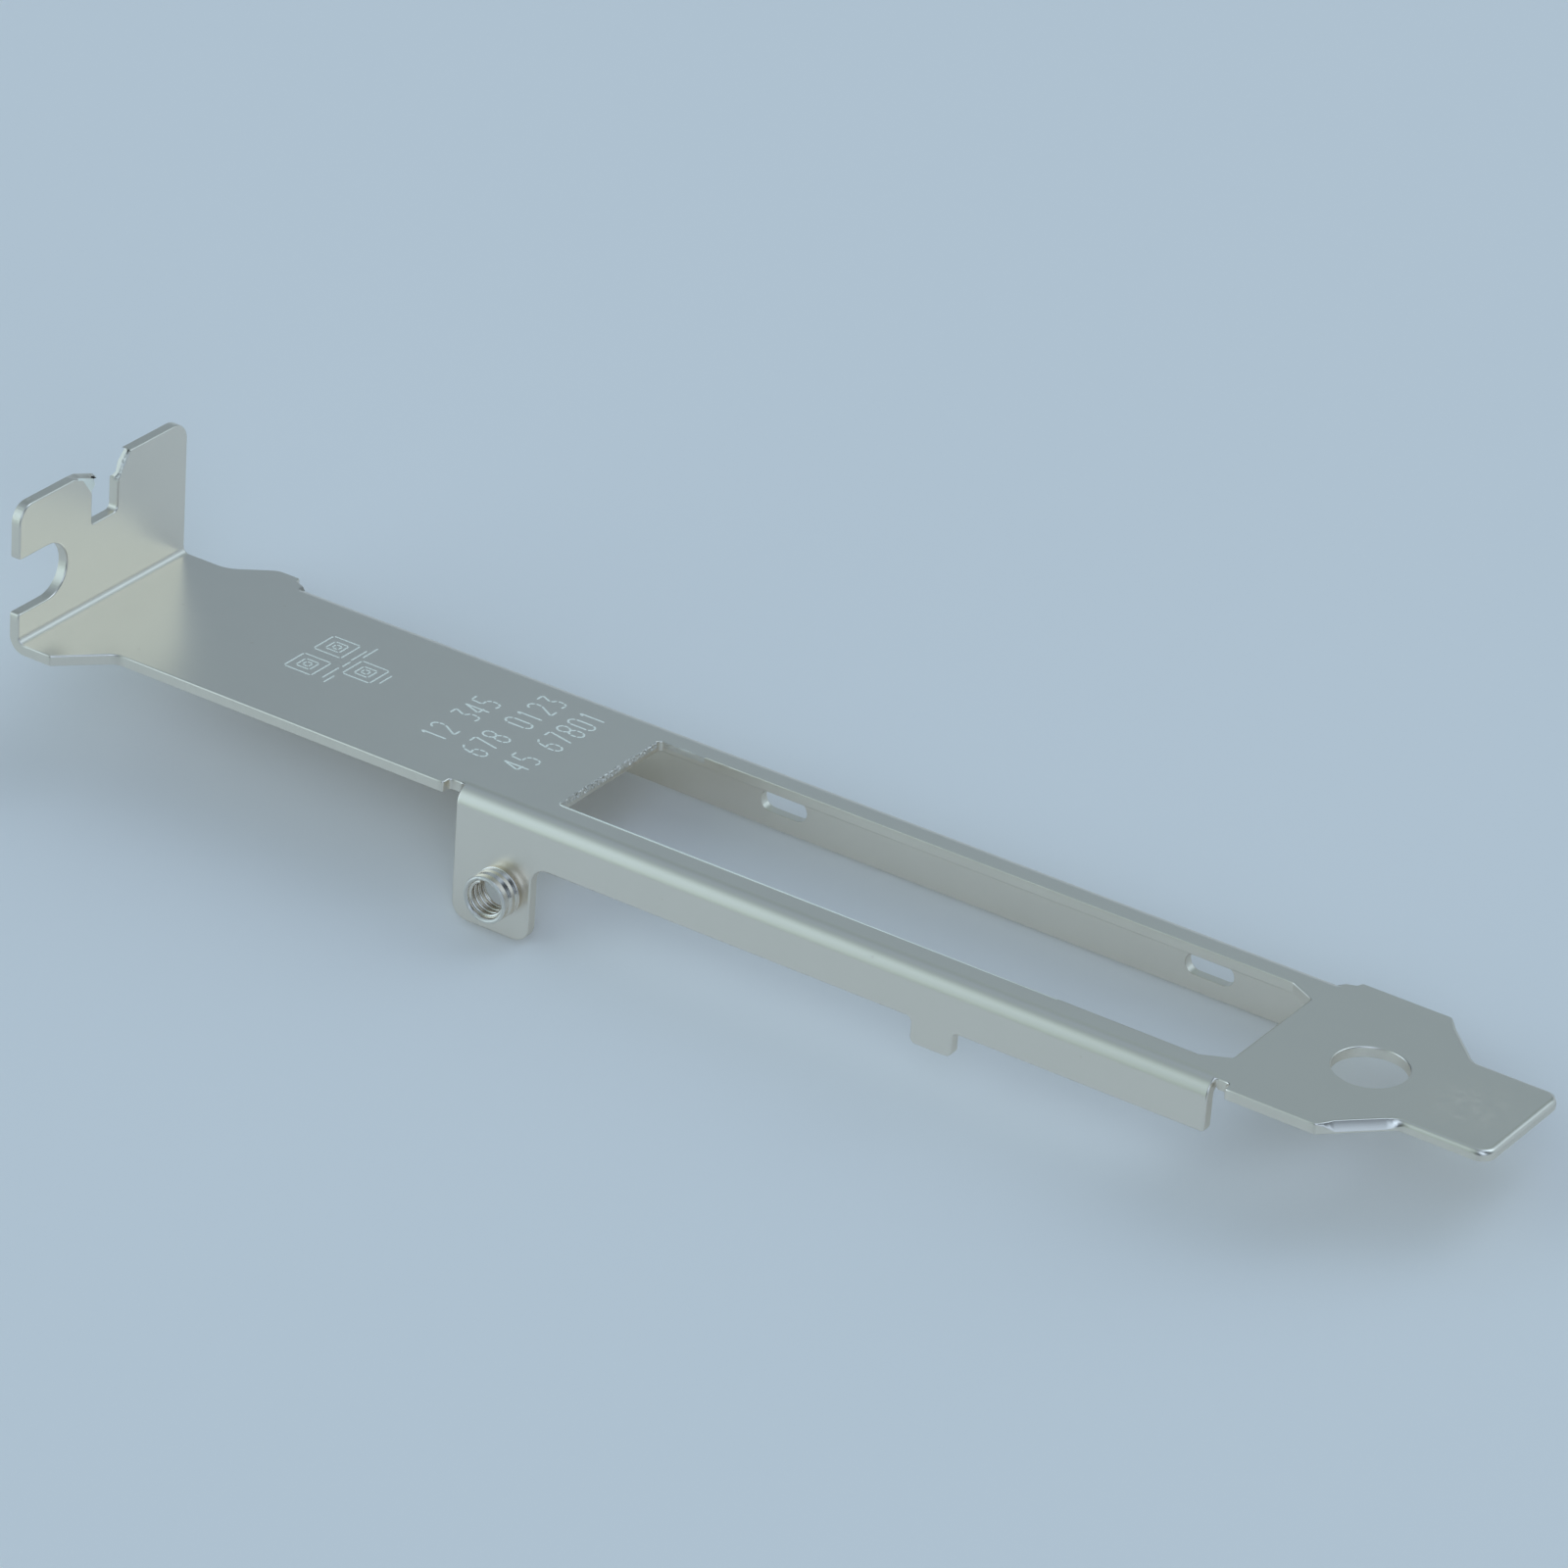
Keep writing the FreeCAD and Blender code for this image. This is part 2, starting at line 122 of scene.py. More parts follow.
def settle(piece: bpy.types.Object) -> None:
    """Put a piece of the bracket in the frame.

    Args:
        piece: The piece.
    """
    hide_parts(NODE)
    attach(piece, BODY)


def quarter(steps: int, first: int = 0) -> list[Pair]:
    """Sines and cosines along a quarter turn, from its first step that is wanted."""
    turns = [math.pi / 2.0 * k / steps for k in range(first, steps + 1)]
    return [(math.sin(turn), math.cos(turn)) for turn in turns]


# Sizes


@dataclass(frozen=True)
class SheetSizes:
    """Sizes of the bracket in millimetres.

    Heights are measured up from the blade's outer face and depths down from it. A beaten point is a height
    and a place across. A row of the flare's back is a share of the flare, a height and a place across.
    """

    thickness: float = 0.86
    inner_bend: float = 0.5
    length: float = 120.02
    blade_width: float = 18.42
    tab_height: float = 11.0
    tab_near: float = -12.64
    tab_far: float = 6.93
    tab_corner: float = 1.4
    screw_slot_width: float = 4.42
    screw_slot_centre: float = 4.55
    screw_slot_reach: float = -7.11
    round_gap: float = 0.001
    notch_near: float = -4.3
    notch_far: float = -1.3
    notch_floor: float = 6.55
    notch_flare_wide: float = 1.25
    notch_flare_high: float = 1.8
    beaten_rise: float = -6.4
    beaten_top: Point = (10.76, -5.6)
    beaten_tip: Point = (9.75, -3.5)
    beaten_low: Point = (9.3, -3.45)
    beaten_foot: Point = (9.25, -4.5)
    beaten_back: float = 10.2
    beaten_fall: float = 0.05
    beaten_fade: float = 0.3
    flare_margin: float = 0.3
    flare_back: tuple[Triple, ...] = (
        (0.0, 9.1, -1.15),
        (0.18, 9.24, -0.6),
        (0.5, 10.0, -0.4),
        (0.8, 10.7, 0.3),
        (1.0, 11.0, 1.1),
    )
    head_near: float = 3.8
    head_near_flare: float = 3.5
    head_far: float = 4.9
    head_far_flare: float = 3.1
    relief: float = 1.2
    near_fold: float = -7.85
    near_relief: float = -8.4
    far_fold: float = 7.35
    far_relief: float = 8.3
    far_shelf: float = 8.72
    far_shelf_run: float = 0.12
    near_start: float = 38.0
    far_start: float = 11.2
    flange_end: float = 100.7
    near_depth: float = 4.0
    far_depth: float = 4.75
    ear_end: float = 44.75
    ear_depth: float = 10.4
    nub_start: float = 77.0
    nub_end: float = 80.45
    nub_depth: float = 6.0
    window_start: float = 45.0
    window_end: float = 100.3
    window_near: float = -6.46
    window_far: float = 6.01
    window_cut_long: float = 2.1
    window_cut_wide: float = 1.1
    foot_hole_x: float = 108.1
    foot_hole_y: float = -0.3
    foot_hole_radius: float = 2.7
    foot_corner: float = 109.035
    shoulder: float = 113.15
    tongue_width: float = 10.19
    finger_slots: tuple[float, float] = (54.7, 90.6)
    finger_slot_long: float = 3.95
    finger_slot_wide: float = 1.6
    finger_slot_depth: float = 2.65
    boss_x: float = 42.0
    boss_depth: float = 7.0
    boss_seat: float = 1.72

    @property
    def half(self) -> float:
        """Half of the blade's width."""
        return self.blade_width / 2.0

    @property
    def outer_bend(self) -> float:
        """Radius of a fold's outer face."""
        return self.inner_bend + self.thickness

    @property
    def bend_run(self) -> float:
        """Length of blank that a flange's fold takes, along the outer face."""
        return self.outer_bend * math.pi / 2.0

    @property
    def tab_run(self) -> float:
        """Length of blank that the tab's fold takes, along the middle of the sheet."""
        return (self.inner_bend + self.thickness / 2.0) * math.pi / 2.0

    def tab_u(self, height: float) -> float:
        """Place on the blank of a height on the tab."""
        return self.outer_bend - self.tab_run - (height - self.inner_bend)

    def near_v(self, depth: float) -> float:
        """Place on the blank of a depth on the near flange."""
        return self.near_fold - self.bend_run - (depth - self.outer_bend)

    def far_v(self, depth: float) -> float:
        """Place on the blank of a depth on the far flange."""
        return self.far_fold + self.bend_run + (depth - self.outer_bend)


@dataclass(frozen=True)
class EdgeSizes:
    """How the blanked edges are broken, in millimetres."""

    roll: float = 0.13
    tip_roll: float = 0.42
    tip_start: float = 0.2
    tip_fade: float = 0.8
    slant_end: float = 0.3
    slant_drop: float = 0.7
    slant_up: float = 0.42
    slant_knee: Pair = (0.8, 0.14)
    slant_ease: float = 0.15
    least_land: float = 0.04
    taper: Pair = (0.01, 0.015)
    burr: float = 0.05
    lip: float = 0.07
    lip_fall: float = 0.02
    lip_run: float = 45.0
    lip_fade: float = 30.0
    lip_side: float = 0.25
    tear_levels: Pair = (0.12, 0.26)
    far_tear: float = 0.55
    far_tear_run: float = 9.0
    flare_tear: float = 0.5
    ragged: float = 0.3
    least_lip: float = 0.1
    struck_step: float = 0.01
    break_line: float = 0.46
    step: float = 0.45
    torn_step: float = 0.1
    arc_step: float = 0.22
    fine_reach: float = 3.0
    fold_steps: int = 12
    rim: float = 0.05
    margin: float = 0.1
    line_near: float = 0.12
    hole_points: int = 72
    seat_points: int = 48
    guard: float = 0.3
    guard_in: float = 0.4
    guard_out: float = 0.35
    least_fold: float = 0.5
    snap: float = 0.02
    rough: float = 0.008
    torn: float = 0.08
    back: float = 0.62


# Rest pose


@dataclass(frozen=True)
class RestPose:
    """The turn and shift that lay the folded sheet on its support, found from the record's foot hole."""

    matrix: Matrix

    @classmethod
    def from_record(cls, record: dict, sizes: SheetSizes) -> RestPose:
        """Find the rest pose.

        Args:
            record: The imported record.
            sizes: The sheet's sizes.

        Returns:
            The pose, from millimetres of the sheet to metres of the row frame.
        """
        mount = next(m for m in record["mounts"] if m["name"] == "foot_hole")
        axis = Vector(mount["axis"])
        place = Vector(mount["pos_m"])
        if axis.z < 0.0:
            axis = -axis
        turn = Matrix.Rotation(-math.atan2(axis.y, axis.z), 4, "X")
        local = Vector((sizes.foot_hole_x, sizes.foot_hole_y, -sizes.thickness / 2.0)) * MM
        shift = Matrix.Translation(place - turn @ local)
        return cls(shift @ turn @ Matrix.Scale(MM, 4))

    def points(self, rows: np.ndarray) -> np.ndarray:
        """Points of the sheet as points of the row frame."""
        m = np.array(self.matrix)
        return rows @ m[:3, :3].T + m[:3, 3]

    def directions(self, rows: np.ndarray) -> np.ndarray:
        """Directions of the sheet as unit directions of the row frame.

        Args:
            rows: Directions of the sheet.

        Returns:
            Unit directions of the row frame.
        """
        m = np.array(self.matrix)[:3, :3] / MM
        out = rows @ m.T
        return out / np.maximum(np.linalg.norm(out, axis=1, keepdims=True), TINY)


# Folding


@dataclass(frozen=True)
class Press:
    """Folds points and directions of the flat blank."""

    sizes: SheetSizes

    def fold(self, flat: np.ndarray, normal: np.ndarray) -> tuple[np.ndarray, np.ndarray]:
        """Fold the blank.

        Args:
            flat: Rows of u, v and depth below the outer face.
            normal: Rows of directions as u, v and height.

        Returns:
            The folded points and directions.
        """
        s = self.sizes
        u, v, w = flat.T
        points = np.column_stack([u, v, -w])
        turned = normal.copy()
        span = u <= s.flange_end + TINY
        near = (v < s.near_fold - TINY) & span & (u >= s.near_start - TINY)
        far = (v > s.far_fold + TINY) & span & (u >= s.far_start - TINY)
        for pick, start, sign in ((near, s.near_fold, -1.0), (far, s.far_fold, 1.0)):
            self._flange(points, turned, pick, start, sign)
        self._tab(points, turned, u < s.outer_bend - TINY)
        return points, turned

    def _flange(
        self, points: np.ndarray, turned: np.ndarray, pick: np.ndarray, start: float, sign: float
    ) -> None:
        """Fold one flange down.

        Args:
            points: Points, changed in place.
            turned: Directions, changed in place.
            pick: Which rows belong to the flange.
            start: The v at which the fold starts.
            sign: -1 for the near flange and +1 for the far one.
        """
        s = self.sizes
        run = (points[pick, 1] - start) * sign
        angle = np.minimum(run, s.bend_run) / s.outer_bend
        over = np.maximum(run - s.bend_run, 0.0)
        radius = s.outer_bend + points[pick, 2]
        along, up = turned[pick, 1] * sign, turned[pick, 2].copy()
        points[pick, 1] = start + sign * radius * np.sin(angle)
        points[pick, 2] = radius * np.cos(angle) - s.outer_bend - over
        turned[pick, 1] = sign * (along * np.cos(angle) + up * np.sin(angle))
        turned[pick, 2] = up * np.cos(angle) - along * np.sin(angle)

    def _tab(self, points: np.ndarray, turned: np.ndarray, pick: np.ndarray) -> None:
        """Fold the tab up.

        Args:
            points: Points, changed in place.
            turned: Directions, changed in place.
            pick: Which rows belong to the tab.
        """
        s = self.sizes
        run = s.outer_bend - points[pick, 0]
        angle = np.minimum(run, s.tab_run) / s.tab_run * math.pi / 2.0
        over = np.maximum(run - s.tab_run, 0.0)
        radius = s.inner_bend - points[pick, 2]
        along, up = turned[pick, 0].copy(), turned[pick, 2].copy()
        points[pick, 0] = s.outer_bend - radius * np.sin(angle)
        points[pick, 2] = s.inner_bend - radius * np.cos(angle) + over
        turned[pick, 0] = along * np.cos(angle) + up * np.sin(angle)
        turned[pick, 2] = up * np.cos(angle) - along * np.sin(angle)


# Blank


@dataclass(frozen=True)
class Corner:
    """A corner of the blank's outline, rounded by its radius."""

    u: float
    v: float
    radius: float = 0.2


@dataclass
class Loop:
    """A closed outline with the material on its left."""

    points: np.ndarray
    hole: bool
    torn: np.ndarray
    back: np.ndarray
    lip: np.ndarray
    from_below: bool = False

    def lefts(self, sharpest: float = 0.3) -> np.ndarray:
        """Offsets that move each point one millimetre into the material, measured square to its edges.

        Args:
            sharpest: Least of one plus the cosine of a corner's turn, which limits its offset.

        Returns:
            One offset for each point.
        """
        ahead = np.roll(self.points, -1, axis=0) - self.points
        ahead = ahead / np.linalg.norm(ahead, axis=1, keepdims=True)
        n_next = np.column_stack([-ahead[:, 1], ahead[:, 0]])
        n_last = np.roll(n_next, 1, axis=0)
        dot = np.sum(n_next * n_last, axis=1, keepdims=True)
        return (n_next + n_last) / np.maximum(1.0 + dot, sharpest)


@dataclass
class Blank:
    """The flat blank: its outline, its holes and the lines it folds on."""

    sizes: SheetSizes
    edges: EdgeSizes
    loops: list[Loop] = field(default_factory=list)

    def build(self) -> list[Loop]:
        """All outlines of the blank, the outer one first.

        Returns:
            The outlines.
        """
        s, e = self.sizes, self.edges
        self.loops = [self._loop(self._outline(), False)]
        self.loops.append(self._loop(self._window(), True))
        self.loops.append(self._ring(s.foot_hole_x, s.foot_hole_y, s.foot_hole_radius, e.hole_points))
        self.loops.append(self._ring(s.boss_x, s.near_v(s.boss_depth), s.boss_seat, e.seat_points))
        for centre in s.finger_slots:
            self.loops.append(self._loop(self._finger_slot(centre), True))
        LOG.info("blank: %d outlines, %d points", len(self.loops), sum(len(a.points) for a in self.loops))
        return self.loops

    def tab_lines(self) -> list[float]:
        """The u of each line of the tab's fold."""
        return self._lines(self.sizes.outer_bend, -self.sizes.tab_run)

    def near_lines(self) -> list[float]:
        """The v of each line of the near flange's fold."""
        return self._lines(self.sizes.near_fold, -self.sizes.bend_run)

    def far_lines(self) -> list[float]:
        """The v of each line of the far flange's fold."""
        return self._lines(self.sizes.far_fold, self.sizes.bend_run)

    def _lines(self, start: float, run: float) -> list[float]:
        """Evenly spaced lines from the start of a fold to its end."""
        steps = self.edges.fold_steps
        return [start + run * k / steps for k in range(steps + 1)]

    def _outline(self) -> list[Corner]:
        """Corners of the outer outline, from the tab along the near side to the tongue and back.

        Returns:
            The corners in order.
        """
        s = self.sizes
        top = s.tab_u(s.tab_height)
        slot_high = s.tab_u(s.screw_slot_centre + s.screw_slot_width / 2.0)
        slot_low = s.tab_u(s.screw_slot_centre - s.screw_slot_width / 2.0)
        flare = s.tab_u(s.tab_height - s.notch_flare_high)
        floor = s.tab_u(s.notch_floor)
        ear, near, nub = s.near_v(s.ear_depth), s.near_v(s.near_depth), s.near_v(s.nub_depth)
        far, tongue = s.far_v(s.far_depth), s.tongue_width / 2.0
        round_end = s.screw_slot_width / 2.0 - s.round_gap
        stop = s.flange_end + s.relief
        return [
            Corner(top, s.tab_near, s.tab_corner),
            Corner(slot_high, s.tab_near, 0.2),
            Corner(slot_high, s.screw_slot_reach, round_end),
            Corner(slot_low, s.screw_slot_reach, round_end),
            Corner(slot_low, s.tab_near, 0.2),
            Corner(s.head_near, s.tab_near, 0.3),
            Corner(s.head_near + s.head_near_flare, -s.half, 1.5),
            Corner(s.near_start - s.relief, -s.half),
            Corner(s.near_start - s.relief, s.near_relief, 0.3),
            Corner(s.near_start, s.near_relief, 0.0),
            Corner(s.near_start, ear, 1.3),
            Corner(s.ear_end, ear, 1.3),
            Corner(s.ear_end, near, 1.4),
            Corner(s.nub_start, near, 0.4),
            Corner(s.nub_start, nub, 0.5),
            Corner(s.nub_end, nub, 0.5),
            Corner(s.nub_end, near, 0.4),
            Corner(s.flange_end, near, 0.25),
            Corner(s.flange_end, s.near_relief, 0.0),
            Corner(stop, s.near_relief, 0.3),
            Corner(stop, -s.half),
            Corner(s.foot_corner, -s.half, 0.4),
            Corner(s.shoulder, -tongue, 1.0),
            Corner(s.length, -tongue, 1.1),
            Corner(s.length, tongue, 1.1),
            Corner(s.shoulder, tongue, 1.0),
            Corner(s.foot_corner, s.half, 0.4),
            Corner(stop, s.half),
            Corner(stop - s.far_shelf_run, s.far_shelf, 0.15),
            Corner(s.flange_end, s.far_relief, 0.0),
            Corner(s.flange_end, far, 0.25),
            Corner(s.far_start, far, 0.25),
            Corner(s.far_start, s.far_relief, 0.0),
            Corner(s.far_start - s.relief + s.far_shelf_run, s.far_shelf, 0.15),
            Corner(s.far_start - s.relief, s.half),
            Corner(s.head_far + s.head_far_flare, s.half, 1.5),
            Corner(s.head_far, s.tab_far, 2.6),
            Corner(top, s.tab_far, 1.6),
            Corner(top, s.notch_far + s.notch_flare_wide, 0.35),
            Corner(flare, s.notch_far, 0.3),
            Corner(floor, s.notch_far, 0.4),
            Corner(floor, s.notch_near, 0.2),
            Corner(s.tab_u(s.beaten_foot[0]), s.notch_near, 0.15),
            Corner(s.tab_u(s.beaten_low[0]), s.beaten_low[1], 0.15),
            Corner(s.tab_u(s.beaten_tip[0]), s.beaten_tip[1], 0.15),
            Corner(s.tab_u(s.beaten_top[0]), s.beaten_top[1], 0.5),
            Corner(top, s.beaten_rise, 0.6),
        ]

    def _window(self) -> list[Corner]:
        """Corners of the port window.

        Returns:
            The corners in order.
        """
        s = self.sizes
        cut_u, cut_v = s.window_end - s.window_cut_long, s.window_cut_wide
        return [
            Corner(s.window_start, s.window_near, 0.3),
            Corner(s.window_start, s.window_far, 0.3),
            Corner(cut_u, s.window_far, 0.3),
            Corner(s.window_end, s.window_far - cut_v, 0.3),
            Corner(s.window_end, s.window_near + cut_v, 0.3),
            Corner(cut_u, s.window_near, 0.3),
        ]

    def _finger_slot(self, centre: float) -> list[Corner]:
        """Corners of one round-ended slot in the far flange.

        Args:
            centre: The u of its middle.

        Returns:
            The corners in order.
        """
        s = self.sizes
        half, radius = s.finger_slot_long / 2.0, s.finger_slot_wide / 2.0
        v = s.far_v(s.finger_slot_depth)
        turn = radius - s.round_gap
        return [
            Corner(centre - half, v - radius, turn),
            Corner(centre - half, v + radius, turn),
            Corner(centre + half, v + radius, turn),
            Corner(centre + half, v - radius, turn),
        ]

    def _ring(self, u: float, v: float, radius: float, count: int) -> Loop:
        """A round hole.

        Args:
            u: The u of its middle.
            v: The v of its middle.
            radius: Its radius.
            count: How many points it has.

        Returns:
            The closed outline.
        """
        turn = -np.linspace(0.0, 2.0 * math.pi, count, endpoint=False)
        points = np.column_stack([u + radius * np.cos(turn), v + radius * np.sin(turn)])
        return Loop(points, True, np.zeros(count), np.zeros((count, 2)), np.zeros(count))

    def _loop(self, corners: list[Corner], hole: bool) -> Loop:
        """Round the corners, split the runs at the folds and into short steps.

        Args:
            corners: The outline's corners in order.
            hole: Whether it is a hole.

        Returns:
            The closed outline.
        """
        path: list[Point] = []
        count = len(corners)
        for i, corner in enumerate(corners):
            path.extend(self._rounded(corners[i - 1], corner, corners[(i + 1) % count]))
        points: list[Point] = []
        for i, here in enumerate(path):
            points.append(here)
            points.extend(self._between(here, path[(i + 1) % len(path)]))
        rows = np.array(points)
        if not hole:
            return Loop(rows, hole, self._jogged(rows), self._broken(rows), np.zeros(len(rows)))
        if rows[:, 1].max() > self.sizes.window_far + self.edges.margin:
            return Loop(rows, hole, np.zeros(len(rows)), np.zeros_like(rows), np.zeros(len(rows)))
        torn, lip = self._window_edge(rows)
        return Loop(rows, hole, torn, np.zeros_like(rows), lip, True)

    def _window_edge(self, rows: np.ndarray) -> tuple[np.ndarray, np.ndarray]:
        """How torn the window's edge is and how high its burr stands.

        Args:
            rows: Points of the window's outline.

        Returns:
            For each point its share of the tear and its share of the burr.
        """
        s, e = self.sizes, self.edges
        past = rows[:, 0] - s.window_start
        far_share = np.clip((e.far_tear_run - past) / e.far_tear_run, 0.0, 1.0)
        far_tear = e.far_tear * far_share * (rows[:, 1] > s.window_far - e.snap)
        lip_share = np.clip((e.lip_run - past) / e.lip_fade, 0.0, 1.0)
        lip = lip_share * (rows[:, 1] < s.window_near + e.lip_side)
        return np.where(np.abs(past) < e.snap, 1.0, far_tear), lip

    def _jogged(self, rows: np.ndarray) -> np.ndarray:
        """How torn the outer outline is: only the flare on the notch's far side is.

        Args:
            rows: Points of the outer outline.

        Returns:
            The share of the tear at each point.
        """
        s, e = self.sizes, self.edges
        high = rows[:, 0] < s.tab_u(s.tab_height - s.notch_flare_high - s.flare_margin)
        across = rows[:, 1] - s.notch_far
        flare = (across > -e.rim) & (across < s.notch_flare_wide + e.margin)
        return np.where(high & flare, e.flare_tear, 0.0)

    def _broken(self, rows: np.ndarray) -> np.ndarray:
        """How far the notch's two upper corners differ at the back of the sheet from their fronts.

        Args:
            rows: Points of the outer outline.

        Returns:
            The offset of each point at the back of the sheet.
        """
        s, e = self.sizes, self.edges
        high = s.tab_u(0.0) - rows[:, 0]
        share = (high - s.tab_height + s.notch_flare_high) / s.notch_flare_high
        on_line = np.abs(rows[:, 1] - (s.notch_far + share * s.notch_flare_wide)) < e.line_near
        pick = on_line & (share > -e.rim) & (share < 1.0 + e.snap)
        stops, back_high, back_v = zip(*s.flare_back)
        back_u = s.tab_u(0.0) - np.interp(share, stops, back_high)
        moved = np.column_stack([back_u, np.interp(share, stops, back_v)])
        offset = np.where(pick[:, None], moved - rows, 0.0)
        runs = (s.beaten_rise, s.beaten_top[1], s.beaten_tip[1])
        highs = (s.tab_height, s.tab_height - s.beaten_fall, s.beaten_back)
        back_high = np.interp(rows[:, 1], runs, highs)
        on_corner = (rows[:, 1] > s.beaten_rise) & (rows[:, 1] < s.beaten_low[1] + e.margin)
        fade = np.clip((high - s.beaten_low[0] - e.margin) / s.beaten_fade, 0.0, 1.0)
        offset[:, 0] -= np.where(on_corner, np.maximum(back_high - high, 0.0) * fade, 0.0)
        return offset

    def _rounded(self, last: Corner, here: Corner, after: Corner) -> list[Point]:
        """Points of one rounded corner.

        Args:
            last: The corner before it.
            here: The corner.
            after: The corner after it.

        Returns:
            The points of its arc, or the corner itself when it is sharp.
        """
        p = Vector((here.u, here.v))
        a = Vector((last.u, last.v)) - p
        b = Vector((after.u, after.v)) - p
        if here.radius <= 0.0:
            return [(p.x, p.y)]
        a.normalize()
        b.normalize()
        opening = a.angle(b)
        reach = here.radius / math.tan(opening / 2.0)
        centre = p + (a + b).normalized() * (here.radius / math.sin(opening / 2.0))
        start, end = p + a * reach - centre, p + b * reach - centre
        first = math.atan2(start.y, start.x)
        sweep = math.atan2(start.cross(end), start.dot(end))
        steps = max(3, int(abs(sweep) * math.sqrt(here.radius) / self.edges.arc_step))
        out = []
        for k in range(steps + 1):
            turn = first + sweep * k / steps
            out.append((centre.x + here.radius * math.cos(turn), centre.y + here.radius * math.sin(turn)))
        return out

    def _is_fine(self, here: Point, after: Point) -> bool:
        """Whether a run of an outline needs short steps for its torn or struck edge.

        Args:
            here: The run's first point.
            after: Its last point.

        Returns:
            True for short steps.
        """
        s, e = self.sizes, self.edges
        middle = ((here[0] + after[0]) / 2.0, (here[1] + after[1]) / 2.0)
        at_window = abs(middle[0] - s.window_start) < e.snap
        by_notch = abs(middle[1] - (s.notch_near + s.notch_far) / 2.0) < e.fine_reach
        return at_window or (by_notch and middle[0] < s.tab_u(s.notch_floor))

    def _between(self, here: Point, after: Point) -> list[Point]:
        """Points added between two neighbours of an outline.

        Args:
            here: The first point.
            after: The next point.

        Returns:
            The added points in order.
        """
        s, e = self.sizes, self.edges
        run = math.dist(here, after)
        count = max(1, math.ceil(run / (e.torn_step if self._is_fine(here, after) else e.step)))
        shares = {round(k / count, 9) for k in range(1, count)}
        du, dv = after[0] - here[0], after[1] - here[1]
        if abs(du) > TINY and min(here[0], after[0]) < s.outer_bend:
            shares |= {round((line - here[0]) / du, 9) for line in self.tab_lines()}
        on_flange = min(abs(here[0] - end) for end in (s.flange_end, s.near_start, s.far_start)) < TINY
        if abs(dv) > TINY and on_flange:
            shares |= {round((line - here[1]) / dv, 9) for line in [*self.near_lines(), *self.far_lines()]}
        kept: list[float] = []
        for share in sorted(t for t in shares if 0.0 < t < 1.0):
            clear = min(share, 1.0 - share) * run > e.snap
            if clear and (not kept or (share - kept[-1]) * run > HAIR):
                kept.append(share)
        return [(here[0] + du * t, here[1] + dv * t) for t in kept]


# Struck marks


@dataclass(frozen=True)
class Stroke:
    """One straight groove between two points of the blade."""

    start: Point
    end: Point
    half_width: float = 0.085
    depth: float = 0.03

    def lines(self) -> list[Line]:
        """The lines that split the blade: the groove's outline, pointed at both ends, and its bottom.

        Returns:
            The ends of each line.
        """
        a, b = Vector(self.start), Vector(self.end)
        along = (b - a).normalized()
        across = Vector((-along.y, along.x)) * self.half_width
        tip = along * self.half_width
        ring = [tuple(p) for p in (a - tip, a - across, b - across, b + tip, b + across, a + across)]
        return [*zip(ring, ring[1:] + ring[:1]), (self.start, self.end)]

    def sink(self, points: np.ndarray) -> np.ndarray:
        """Depth of the groove at some points of the blade.

        Args:
            points: Points of the blade.

        Returns:
            The depth at each.
        """
        a, b = np.array(self.start), np.array(self.end)
        run = b - a
        share = np.clip(((points - a) @ run) / (run @ run), 0.0, 1.0)
        away = np.linalg.norm(points - (a + share[:, None] * run), axis=1)
        return self.depth * np.clip(1.0 - away / self.half_width, 0.0, 1.0)


@dataclass(frozen=True)
class StruckCorner:
    """A corner beaten down to a flat facet beyond a straight line."""

    start: Point
    end: Point
    slope: float = 0.476
    past: float = 0.6
    reach: float = 1.2

    def lines(self) -> list[Line]:
        """The line that the facet starts from."""
        return [(self.start, self.end)]

    def sink(self, points: np.ndarray) -> np.ndarray:
        """Depth of the facet at some points, which is zero away from the corner.

        Args:
            points: Points of the blank.

        Returns:
            The depth at each.
        """
        a, b = np.array(self.start), np.array(self.end)
        run = (b - a) / np.linalg.norm(b - a)
        along, beyond = (points - a) @ run, (points - a) @ np.array((-run[1], run[0]))
        near = (along > -self.past) & (along < np.linalg.norm(b - a) + self.past) & (beyond < self.reach)
        return np.where(near, self.slope * np.maximum(beyond, 0.0), 0.0)


def lifted(a: Point, b: Point, gap: float = 0.13, most: float = 0.22) -> Line:
    """Ends of a stroke drawn back a little, because the tool lifts before each turn.

    Args:
        a: Where the stroke would start.
        b: Where it would end.
        gap: How far each end is drawn back.
        most: The largest share of the stroke that one end may lose.

    Returns:
        The two ends.
    """
    share = min(gap / math.dist(a, b), most)
    du, dv = (b[0] - a[0]) * share, (b[1] - a[1]) * share
    return (a[0] + du, a[1] + dv), (b[0] - du, b[1] - dv)


